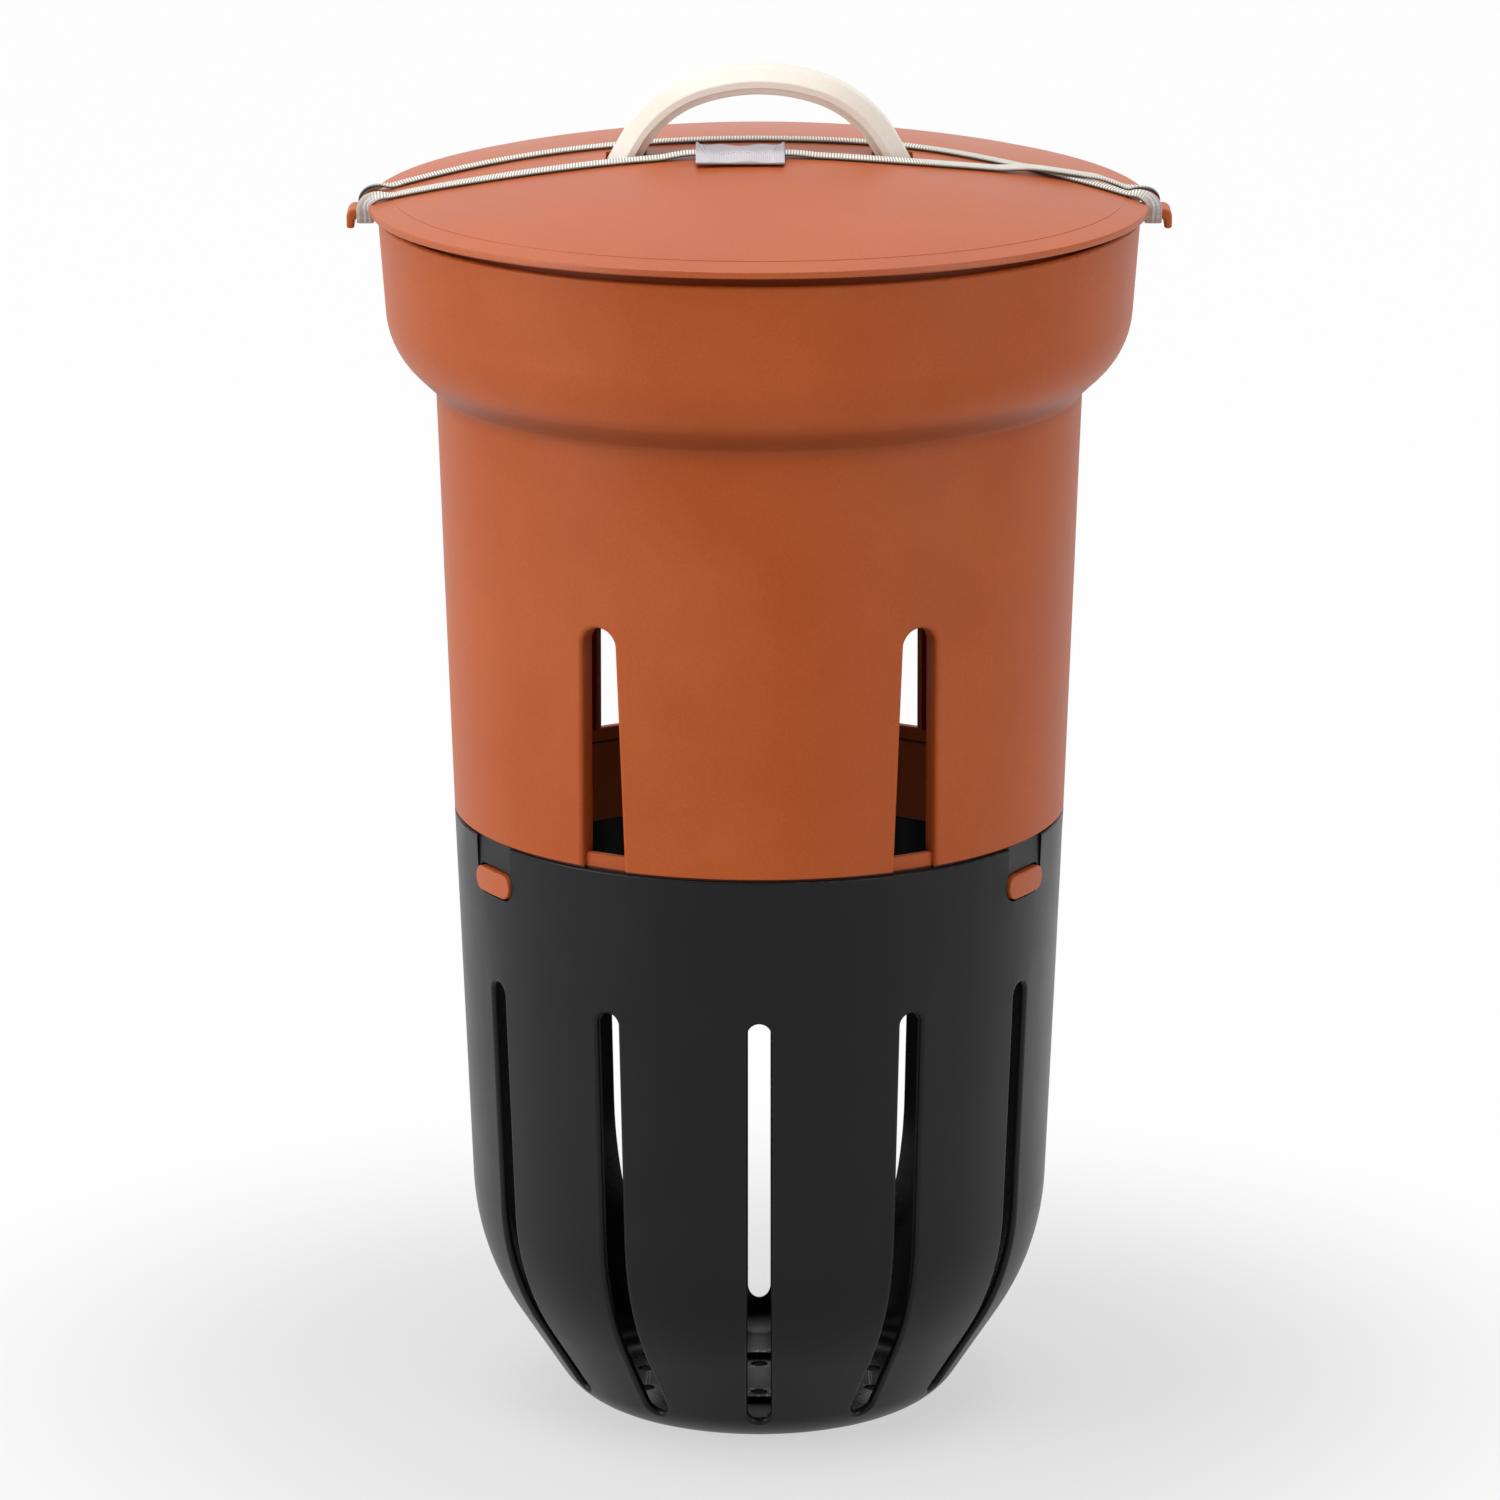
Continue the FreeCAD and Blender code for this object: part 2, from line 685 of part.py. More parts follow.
def strap_hook():
    """End of the loop at the right, down one side of the ear, under its arm and up again."""
    mid_y = ear_half_width - ear_edge_round + strap_bend
    mid_z = ear_under_z + ear_edge_round - strap_bend
    half = strap_thickness / 2
    points = []
    for grow in (half, -half):
        u = [V(0, -mid_y - grow, strap_hook_top_z), V(0, -mid_y - grow, mid_z - grow),
             V(0, mid_y + grow, mid_z - grow), V(0, mid_y + grow, strap_hook_top_z)]
        points += u if grow > 0 else u[::-1]
    outer = strap_bend + half
    inner = strap_bend - half
    face = Part.Face(rounded_wire(points, [0, outer, outer, 0, 0, inner, inner, 0]))
    face.translate(V(strap_end_x - strap_width / 2, 0, 0))
    return face.extrude(V(strap_width, 0, 0))


def mirrored(station):
    """Station of a strand moved to the other side of the YZ plane."""
    return tuple(V(-vector.x, vector.y, vector.z) for vector in station)


def make_strap():
    """Flat elastic loop over the lid, its strands crossed at the right, both ends hooked under the ears."""
    front_run = strap_flat_run(True)
    back_run = strap_flat_run(False)
    hook = strap_hook()
    pieces = [strap_loft(front_run), strap_loft(back_run), hook, hook.mirror(origin, V(1, 0, 0))]
    left = strap_loft(strap_corner_run(mirrored(front_run[0]), strap_left_corner))
    left = left.mirror(origin, V(1, 0, 0))
    pieces += [left, left.mirror(origin, V(0, 1, 0))]
    right = strap_loft(strap_corner_run(back_run[-1], strap_right_corner))
    pieces += [right, right.mirror(origin, V(0, 1, 0))]
    return pieces[0].fuse(pieces[1:]).removeSplitter()


def make_tag():
    """Padded label on the front strand, thick over the strap and thin at the front, with a tunnel."""
    start = tag_centre_x - tag_length / 2
    points = [V(start, -forward, z) for forward, z, radius in tag_section]
    outline = rounded_wire(points, [radius for forward, z, radius in tag_section])
    middle = V(start, -tag_strap_y, tag_strap_z())
    corners = []
    for y, z in ((-1, -1), (1, -1), (1, 1), (-1, 1)):
        corners.append(middle + V(0, y * tag_tunnel_depth / 2, z * tag_tunnel_height / 2))
    hole = rounded_wire(corners, [tag_tunnel_round] * 4)
    along = V(tag_length, 0, 0)
    return Part.Face(outline).extrude(along).cut(Part.Face(hole).extrude(along))


os.makedirs("parts", exist_ok=True)
make_basket().exportStep("parts/basket.step")
make_barrel().exportStep("parts/barrel.step")
make_lid().exportStep("parts/lid.step")
make_handle().exportStep("parts/handle.step")
make_strap().exportStep("parts/elastic_strap.step")
make_tag().exportStep("parts/strap_tag.step")
for tab_name, tab_angle in tab_angles.items():
    make_snap_tab(tab_angle).exportStep("parts/" + tab_name + ".step")
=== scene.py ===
"""Looks of a worm composter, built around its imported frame.

A black slotted basket carries a terracotta barrel with a flared collar. A bowed lid with a cream handle
closes the barrel, and a grey elastic strap with a padded tag holds the lid down.
Metres, +Z up, front towards -Y, ears along X.
"""

import logging
import math
from abc import ABC, abstractmethod
from dataclasses import dataclass, field
from enum import Enum
from functools import partial

import bpy
import numpy as np
from bpy.types import Material, NodeSocket, NodeTree, Object
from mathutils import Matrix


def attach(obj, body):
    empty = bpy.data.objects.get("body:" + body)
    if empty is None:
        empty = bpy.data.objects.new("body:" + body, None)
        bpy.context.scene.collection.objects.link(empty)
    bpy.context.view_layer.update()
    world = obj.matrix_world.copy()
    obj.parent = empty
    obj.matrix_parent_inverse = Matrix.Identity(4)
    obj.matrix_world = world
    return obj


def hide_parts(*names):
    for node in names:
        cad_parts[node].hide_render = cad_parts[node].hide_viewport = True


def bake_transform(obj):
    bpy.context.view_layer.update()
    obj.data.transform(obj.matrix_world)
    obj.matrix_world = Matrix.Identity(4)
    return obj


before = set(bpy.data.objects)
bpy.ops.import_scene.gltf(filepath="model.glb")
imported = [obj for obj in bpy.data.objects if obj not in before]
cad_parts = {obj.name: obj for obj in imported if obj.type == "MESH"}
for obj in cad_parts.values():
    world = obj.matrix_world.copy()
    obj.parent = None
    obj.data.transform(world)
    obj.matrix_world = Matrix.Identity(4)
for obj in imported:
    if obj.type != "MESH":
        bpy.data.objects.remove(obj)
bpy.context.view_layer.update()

MM = 0.001
PHOTO_SIDE_PX = 1500
WHITE = (1.0, 1.0, 1.0, 1.0)

# The UV map that a weave or a knit follows.
PATTERN = "pattern"

# Several sockets of a Mix node share a name, so they are told apart by number.
MIX_SHARE = 0
COLOUR_A, COLOUR_B = 6, 7
COLOUR_MIX = {"data_type": "RGBA", "out": 2}
NUMBER_A, NUMBER_B = 2, 3

# Nearly all values of a noise texture lie between these.
NOISE_LOW, NOISE_HIGH = 0.3, 0.7

Array = np.ndarray

log = logging.getLogger("composter")


class Body(str, Enum):
    """The moving bodies of the frame that new pieces ride on."""

    BARREL = "barrel"
    LID = "lid"


class Slot(str, Enum):
    """Names of the record's material slots for the elastic and the padded cloth."""

    ELASTIC = "grey_elastic"
    CLOTH = "padded_cloth"


class BandMark(str, Enum):
    """The marks on the strap's points, in the order in which its finish reads them."""

    ACROSS = "across"
    PULLED = "pulled"
    LOWER_EDGE_SHADE = "lower_edge_shade"


def linear(code: str) -> tuple[float, float, float, float]:
    """Turns an sRGB hex colour to linear light: a straight toe, then a power of 2.4.

    Args:
        code: Six hex digits, two each for red, green and blue.

    Returns:
        Red, green, blue and a full alpha, from 0 to 1.
    """
    channels = []
    for start in (0, 2, 4):
        value = int(code[start:start + 2], 16) / 255
        channels.append(value / 12.92 if value <= 0.04045 else ((value + 0.055) / 1.055) ** 2.4)
    return (channels[0], channels[1], channels[2], 1.0)


def ease(share: Array) -> Array:
    """Smooth step: three times the square less twice the cube, held to 0 and 1 outside that range."""
    held = np.clip(share, 0.0, 1.0)
    return held * held * (3.0 - 2.0 * held)


def bell(distance: Array, width: float) -> Array:
    """Bell curve: e to the power of less the square of the distance in widths."""
    return np.exp(-(distance / width) ** 2)


def quarter_round(distance: Array, radius: float) -> Array:
    """Share of the full height at a distance from a rounded edge: a quarter circle, then one."""
    return np.sqrt(1 - (1 - np.clip(distance / radius, 0, 1)) ** 2)


def unit(vectors: Array) -> Array:
    """Vectors of the last axis, each divided by its length."""
    return vectors / np.linalg.norm(vectors, axis=-1, keepdims=True)


def add_node(tree: NodeTree, kind: str, feeds: dict | None = None, out: int | str = 0,
             **options: object) -> NodeSocket | None:
    """Adds one shader node, sets its options, and fills or links its sockets.

    Args:
        tree: The node tree of a material or a world.
        kind: Blender's type name of the node, without its first words.
        feeds: Socket name or number to a fixed value, or to the output socket that feeds it.
        out: Name or number of the output that is wanted.
        options: The node's own settings.

    Returns:
        That output socket, or None from a node that has no outputs.
    """
    node = tree.nodes.new("ShaderNode" + kind)
    for name, value in options.items():
        setattr(node, name, value)
    for key, value in (feeds or {}).items():
        if isinstance(value, NodeSocket):
            tree.links.new(value, node.inputs[key])
        else:
            node.inputs[key].default_value = value
    return node.outputs[out] if node.outputs else None


def blank_material(name: str) -> Material:
    """Makes a material with an empty node tree.

    Args:
        name: Name of the material.

    Returns:
        The new material.
    """
    material = bpy.data.materials.new(name)
    material.use_nodes = True
    material.node_tree.nodes.clear()
    return material


@dataclass(frozen=True)
class Grid:
    """Quads between the points of a grid whose columns close on themselves, and whose rows may.

    Attributes:
        rows, columns: Numbers of points along the first and the second parameter.
        close_rows: Whether the last row joins the first.
    """

    rows: int
    columns: int
    close_rows: bool = False

    def corners(self) -> tuple[Array, Array]:
        """Row and column number of each quad's four corners, counted on past a closing seam.

        Returns:
            Two arrays of one line per quad, for rows and for columns.
        """
        row = np.arange(self.rows if self.close_rows else self.rows - 1)
        column = np.arange(self.columns)
        r, c = (part.reshape(-1, 1) for part in np.meshgrid(row, column, indexing="ij"))
        return r + np.array([[0, 1, 1, 0]]), c + np.array([[0, 0, 1, 1]])

    def quads(self) -> Array:
        """Point numbers of each quad's corners."""
        r, c = self.corners()
        return (r % self.rows) * self.columns + c % self.columns


def make_mesh(name: str, points: Array, faces: Array, uv: Array | None = None) -> Object:
    """Makes a smooth mesh object at the origin from whole arrays.

    Args:
        name: Name of the piece.
        points: Places in metres, one per line.
        faces: Point numbers of each face, all faces with the same number of corners.
        uv: A place on the pattern for each corner of each face, or None.

    Returns:
        The new object, linked to the scene.
    """
    mesh = bpy.data.meshes.new(name)
    flat = faces.astype(np.int32).ravel()
    mesh.vertices.add(len(points))
    mesh.vertices.foreach_set("co", points.astype(np.float32).ravel())
    mesh.loops.add(len(flat))
    mesh.polygons.add(len(faces))
    mesh.polygons.foreach_set("loop_start", np.arange(len(faces), dtype=np.int32) * faces.shape[1])
    mesh.polygons.foreach_set("vertices", flat)
    mesh.update(calc_edges=True)
    mesh.validate()
    mesh.polygons.foreach_set("use_smooth", np.ones(len(faces), dtype=bool))
    if uv is not None:
        layer = mesh.uv_layers.new(name=PATTERN)
        layer.data.foreach_set("uv", uv.astype(np.float32).ravel())
    piece = bpy.data.objects.new(name, mesh)
    bpy.context.scene.collection.objects.link(piece)
    return piece


def dress(piece: Object, material: Material) -> None:
    """Puts one finish on every slot of a piece.

    Args:
        piece: A new piece or a CAD node.
        material: The finish's material.
    """
    if not piece.data.materials:
        piece.data.materials.append(material)
    for index in range(len(piece.data.materials)):
        piece.data.materials[index] = material
    log.info("dressed %s in %s", piece.name, material.name)


@dataclass(frozen=True)
class Finish(ABC):
    """A finish of the object: one principled shader and the patterns that feed it.

    Attributes:
        name: Name of the material.
    """

    name: str

    @abstractmethod
    def sockets(self, tree: NodeTree) -> dict[str, object]:
        """Adds the patterns of this kind of finish.

        Args:
            tree: The material's node tree.

        Returns:
            The shader's sockets, each with its fixed value or the output that feeds it.
        """

    def material(self) -> Material:
        """Builds the node material.

        Returns:
            The finished material.
        """
        made = blank_material(self.name)
        tree = made.node_tree
        shader = add_node(tree, "BsdfPrincipled", self.sockets(tree))
        add_node(tree, "OutputMaterial", {"Surface": shader})
        return made


@dataclass(frozen=True)
class PaintedShadeLine:
    """A level line on a vessel along which shade is painted into the colour. Sizes in millimetres.

    Attributes:
        height: Height of the line.
        reach: Distance above and below it at which the painted shade ends.
        tone: Factor on the colour in the line, the depth of the painted shade.
    """

    height: float
    reach: float
    tone: float


@dataclass(frozen=True)
class MouldedPlastic(Finish):
    """Polypropylene moulded in a spark-eroded tool, with a polished core inside.

    To the eye: a satin skin with a fine even grain, faint clouds where the melt flowed, soft broad
    highlights that whiten at a glancing angle, and glossier inner walls.

    Attributes:
        colour: Main colour, as sRGB hex.
        cloud: Colour of the faint flow clouds.
        rough: Roughness of the grained skin.
        core_rough: Roughness of faces that look towards the vessel's axis.
        rough_spread: How much the skin's roughness differs from cloud to cloud.
        cloud_mm: Width of a cloud.
        cloud_from: Value of the noise at which a cloud starts to show.
        grain_mm: Width of a grain. The real grain is about 0.2 mm, drawn coarser so that it shows.
        grain_height_mm: Height of a grain.
        grain_strength: Strength of the grain's bump.
        speck: How much lighter or darker a grain can be.
        ior: Index of refraction, low where the skin is so fine that it mirrors little.
        creases: The level lines along which shade is painted into its colour.
    """

    colour: str
    cloud: str
    rough: float
    core_rough: float
    rough_spread: float = 0.04
    cloud_mm: float = 60.0
    cloud_from: float = 0.35
    grain_mm: float = 1.1
    grain_height_mm: float = 0.03
    grain_strength: float = 0.35
    speck: float = 0.06
    ior: float = 1.49
    creases: tuple[PaintedShadeLine, ...] = ()

    def tone(self, tree: NodeTree, place: NodeSocket, grain: NodeSocket) -> NodeSocket:
        """Adds the factor on the colour: by grain, times painted shade, a smooth step of the distance from
        each line.

        Args:
            tree: The material's node tree.
            place: Object coordinates.
            grain: Height of the grain, from 0 to 1.

        Returns:
            The factor's output.
        """
        add = partial(add_node, tree)
        factor = add("MapRange", {
            "Value": grain, "From Min": NOISE_LOW, "From Max": NOISE_HIGH,
            "To Min": 1 - self.speck, "To Max": 1 + self.speck,
        })
        # Painted shade: the colour darkens towards each level line.
        for shade_line in self.creases:
            height = add("SeparateXYZ", {0: place}, out=2)
            above = add("Math", {0: height, 1: shade_line.height * MM}, operation="SUBTRACT")
            away = add("Math", {0: above}, operation="ABSOLUTE")
            unshaded = add("MapRange", {
                "Value": away, "From Max": shade_line.reach * MM, "To Min": shade_line.tone,
            }, interpolation_type="SMOOTHSTEP")
            factor = add("Math", {0: factor, 1: unshaded}, operation="MULTIPLY")
        return factor

    def sockets(self, tree: NodeTree) -> dict[str, object]:
        """Adds clouds of colour and gloss, the grain, the painted shade along its lines, and the glossier
        core.

        A face is core where its normal times the level direction from the axis is below zero.

        Args:
            tree: The material's node tree.

        Returns:
            The shader's sockets.
        """
        add = partial(add_node, tree)
        place = add("TexCoord", out="Object")
        clouds = add("TexNoise", {
            "Vector": place, "Scale": 1 / (self.cloud_mm * MM), "Detail": 3.0, "Roughness": 0.55,
        }, out="Fac")
        grain = add("TexNoise", {
            "Vector": place, "Scale": 1 / (self.grain_mm * MM), "Detail": 2.0, "Roughness": 0.6,
        }, out="Fac")
        cloudy = add("MapRange", {"Value": clouds, "From Min": self.cloud_from, "From Max": NOISE_HIGH})
        tint = add("Mix", {
            MIX_SHARE: cloudy, COLOUR_A: linear(self.colour), COLOUR_B: linear(self.cloud),
        }, **COLOUR_MIX)
        colour = add("VectorMath", {0: tint, "Scale": self.tone(tree, place, grain)}, operation="SCALE")
        facing = add("NewGeometry", out="Normal")
        level = add("VectorMath", {0: place, 1: (1.0, 1.0, 0.0)}, operation="MULTIPLY")
        outwards = add("VectorMath", {0: level, 1: facing}, operation="DOT_PRODUCT", out=1)
        core = add("Math", {0: outwards, 1: 0.0}, operation="LESS_THAN")
        skin = add("MapRange", {
            "Value": clouds, "From Min": NOISE_LOW, "From Max": NOISE_HIGH,
            "To Min": self.rough - self.rough_spread, "To Max": self.rough + self.rough_spread,
        })
        rough = add("Mix", {MIX_SHARE: core, NUMBER_A: skin, NUMBER_B: self.core_rough}, data_type="FLOAT")
        bump = add("Bump", {
            "Height": grain, "Strength": self.grain_strength, "Distance": self.grain_height_mm * MM,
        })
        return {"Base Color": colour, "Roughness": rough, "Normal": bump, "IOR": self.ior}


@dataclass(frozen=True)
class KnittedElastic(Finish):
    """Narrow elastic knitted over rubber threads.

    To the eye: pale grey yarn in close crosswise ribs, with painted shade in the furrows and on the lower
    edges. Where the band is pulled round an ear the ribs flatten out and its coloured lengthwise threads
    show as stripes.

    Attributes:
        yarn: Colour of the ribs.
        furrow: Colour between ribs, a painted shade in the furrows.
        lower_edge_shade: Colour of the lower edges, a painted shade.
        stripes: Colours of the lengthwise threads, from edge to edge.
        ribs: Ribs along the whole loop.
        threads: Lengthwise threads across the band.
        thread_share: Height of a thread as a share of a rib's.
        furrow_at, yarn_at: Heights of the knit at which each colour is full, in rib heights.
        relief_mm: Height of the bump.
    """

    yarn: str
    furrow: str
    lower_edge_shade: str
    stripes: tuple[str, ...]
    ribs: int
    threads: int
    thread_share: float = 0.4
    furrow_at: float = -1.2
    yarn_at: float = 0.4
    relief_mm: float = 0.08

    def stripe_ramp(self, tree: NodeTree, across: NodeSocket) -> NodeSocket:
        """Adds the ramp of stripe colours, evenly spaced from edge to edge.

        Args:
            tree: The material's node tree.
            across: Place across the band, from 0 to 1.

        Returns:
            The colour output.
        """
        ramp = add_node(tree, "ValToRGB", {"Fac": across})
        points = ramp.node.color_ramp.elements
        while len(points) < len(self.stripes):
            points.new(0.5)
        for index, code in enumerate(self.stripes):
            points[index].position = index / (len(self.stripes) - 1)
            points[index].color = linear(code)
        return ramp

    def sockets(self, tree: NodeTree) -> dict[str, object]:
        """Adds the knit on the strap's own pattern map and marks: a cosine along it and one across it.

        Args:
            tree: The material's node tree.

        Returns:
            The shader's sockets.
        """
        add = partial(add_node, tree)
        pattern = add("UVMap", uv_map=PATTERN)
        along = add("SeparateXYZ", {0: pattern})
        across, pulled, edge = (add("Attribute", attribute_name=mark.value, out="Fac") for mark in BandMark)
        waves = []
        for way, count in ((along, self.ribs), (across, self.threads)):
            phase = add("Math", {0: way, 1: math.tau * count}, operation="MULTIPLY")
            waves.append(add("Math", {0: phase}, operation="COSINE"))
        rib, thread = waves
        height = add("Math", {0: thread, 1: self.thread_share, 2: rib}, operation="MULTIPLY_ADD")
        crest = add("MapRange", {"Value": height, "From Min": self.furrow_at, "From Max": self.yarn_at})
        # Painted shade: the knit's colour darkens with its height, into the furrows.
        knit = add("Mix", {
            MIX_SHARE: crest, COLOUR_A: linear(self.furrow), COLOUR_B: linear(self.yarn),
        }, **COLOUR_MIX)
        taut = add("Mix", {
            MIX_SHARE: pulled, COLOUR_A: knit, COLOUR_B: self.stripe_ramp(tree, across),
        }, **COLOUR_MIX)
        # Painted shade on the band's lower edges.
        colour = add("Mix", {
            MIX_SHARE: edge, COLOUR_A: taut, COLOUR_B: linear(self.lower_edge_shade),
        }, **COLOUR_MIX)
        bump = add("Bump", {"Height": height, "Strength": 0.5, "Distance": self.relief_mm * MM})
        return {"Base Color": colour, "Roughness": 0.7, "Normal": bump,
                "Sheen Weight": 0.25, "Sheen Roughness": 0.5}


@dataclass(frozen=True)
class WovenCloth(Finish):
    """Polyester plain weave, folded and sewn over a soft filling.

    To the eye: a pale lavender grey with a fine over-and-under weave, a slight sheen at its edges, and
    darker crossings.

    Attributes:
        yarn: Colour of the yarn at the front.
        gap: Colour in the crossings.
        rear_shade: Colour of the yarn at the rear and below, painted greyer as shade.
        wide, around: Yarns along the sleeve and around it.
        crown: Height of a yarn from which it has its full colour, from 0 to 1.
        rear_shade_from, rear_shade_to: Shares of the way around it between which the painted shade sets in.
        relief_mm: Height of the bump.
    """

    yarn: str
    gap: str
    rear_shade: str
    wide: int
    around: int
    crown: float = 0.6
    rear_shade_from: float = 0.14
    rear_shade_to: float = 0.3
    relief_mm: float = 0.08

    def sockets(self, tree: NodeTree) -> dict[str, object]:
        """Adds the weave on the sleeve's own pattern map: the product of two sines, without its sign.

        Args:
            tree: The material's node tree.

        Returns:
            The shader's sockets.
        """
        add = partial(add_node, tree)
        pattern = add("UVMap", uv_map=PATTERN)
        along, around = add("SeparateXYZ", {0: pattern}).node.outputs[:2]
        waves = []
        for way, yarns in ((along, self.wide), (around, self.around)):
            phase = add("Math", {0: way, 1: math.pi * yarns}, operation="MULTIPLY")
            waves.append(add("Math", {0: phase}, operation="SINE"))
        weft, warp = waves
        over = add("Math", {0: weft, 1: warp}, operation="MULTIPLY")
        height = add("Math", {0: over}, operation="ABSOLUTE")
        shade = add("MapRange", {"Value": height, "From Max": self.crown})
        # Painted shade: the rear of the label and its underside are greyer.
        rear = add("MapRange", {
            "Value": around, "From Min": self.rear_shade_from, "From Max": self.rear_shade_to,
        }, interpolation_type="SMOOTHSTEP")
        yarn, dark = (
            add("Mix", {
                MIX_SHARE: rear, COLOUR_A: linear(code), COLOUR_B: linear(self.rear_shade),
            }, **COLOUR_MIX)
            for code in (self.yarn, self.gap)
        )
        colour = add("Mix", {MIX_SHARE: shade, COLOUR_A: dark, COLOUR_B: yarn}, **COLOUR_MIX)
        bump = add("Bump", {"Height": height, "Strength": 0.25, "Distance": self.relief_mm * MM})
        return {"Base Color": colour, "Roughness": 0.62, "Normal": bump,
                "Sheen Weight": 0.3, "Sheen Roughness": 0.4}


@dataclass(frozen=True)
class SewingThread(Finish):
    """Twisted polyester thread, with a faint sheen along the twist.

    Attributes:
        colour: Colour of the thread.
        shadow: Colour between its plies.
        ply_mm: Distance from ply to ply.
    """

    colour: str
    shadow: str
    ply_mm: float = 0.5

    def sockets(self, tree: NodeTree) -> dict[str, object]:
        """Adds slanting plies.

        Args:
            tree: The material's node tree.

        Returns:
            The shader's sockets.
        """
        place = add_node(tree, "TexCoord", out="Object")
        ply = add_node(tree, "TexWave", {
            "Vector": place, "Scale": 1 / (self.ply_mm * MM * math.pi), "Distortion": 1.0,
        }, bands_direction="DIAGONAL", out="Fac")
        colour = add_node(tree, "Mix", {
            MIX_SHARE: ply, COLOUR_A: linear(self.shadow), COLOUR_B: linear(self.colour),
        }, **COLOUR_MIX)
        return {"Base Color": colour, "Roughness": 0.45}


# Painted shade in the crease under the collar and in the groove at the joint with the basket.
COLLAR_CREASE_SHADE = PaintedShadeLine(height=425.2, reach=11.0, tone=0.58)
JOINT_GROOVE_SHADE = PaintedShadeLine(height=248.2, reach=0.9, tone=0.08)
TERRACOTTA = MouldedPlastic("terracotta_polypropylene", "B0511F", "B85A2A", rough=0.44, core_rough=0.3,
                            ior=1.3, creases=(COLLAR_CREASE_SHADE, JOINT_GROOVE_SHADE))
LID_TERRACOTTA = MouldedPlastic("lid_polypropylene", "B0511F", "B85A2A", rough=0.42, core_rough=0.3)
TAB_TERRACOTTA = MouldedPlastic("tab_polypropylene", "B2562A", "B85D31", rough=0.42, core_rough=0.42,
                                ior=1.35)
BLACK = MouldedPlastic("black_polypropylene", "0D0D10", "131316", rough=0.36, core_rough=0.22, ior=1.3)
CREAM = MouldedPlastic("cream_polypropylene", "ECE4D9", "E8DFD3", rough=0.34, core_rough=0.34,
                       grain_height_mm=0.005, speck=0.015)
CLOTH = WovenCloth("lavender_plain_weave", yarn="CBC6CA", gap="AFAAB1", rear_shade="9B979F", wide=64, around=44)
THREAD = SewingThread("pale_sewing_thread", colour="FBF9FC", shadow="B4AEBA")
ELASTIC_STRIPES = ("A9A8A2", "B98FA0", "C9C6B4", "8E97A6", "D6D0BE", "B58C9A", "A3A79C", "C4B79A", "9AA1AC")


@dataclass
class Vessels:
    """The moulded pieces: basket, barrel, lid, handle and snap tabs, which keep their CAD shapes.

    Attributes:
        finishes: Each finish with the nodes that wear it.
    """

    finishes: tuple[tuple[MouldedPlastic, tuple[str, ...]], ...] = (
        (BLACK, ("basket",)),
        (TERRACOTTA, ("barrel",)),
        (LID_TERRACOTTA, ("lid",)),
        (CREAM, ("handle",)),
        (TAB_TERRACOTTA, ("snap_tab_left", "snap_tab_right", "snap_tab_rear")),
    )

    def dress(self) -> None:
        """Gives each moulded CAD node its finish."""
        for finish, nodes in self.finishes:
            material = finish.material()
            for node in nodes:
                dress(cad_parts[node], material)


@dataclass
class Dome:
    """The lid's upper surface, bent more across X than along Y. Sizes in millimetres.

    Attributes:
        top_z: Height of the top.
        bend_x, bend_y: Radii of the arcs across X and along Y.
    """

    top_z: float = 516.0
    bend_x: float = 605.0
    bend_y: float = 655.0

    def height(self, x: Array, y: Array) -> Array:
        """Height at a place: an arc across X whose radius shrinks as an arc along Y falls."""
        arc = self.bend_x - self.bend_y + np.sqrt(self.bend_y ** 2 - y ** 2)
        return self.top_z - self.bend_x + np.sqrt(arc ** 2 - x ** 2)

    def normal(self, x: Array, y: Array) -> Array:
        """Outward direction at a place: the slope of both arcs, made a unit vector."""
        return unit(np.stack([x / self.bend_x, y / self.bend_y, np.ones_like(x)], axis=-1))


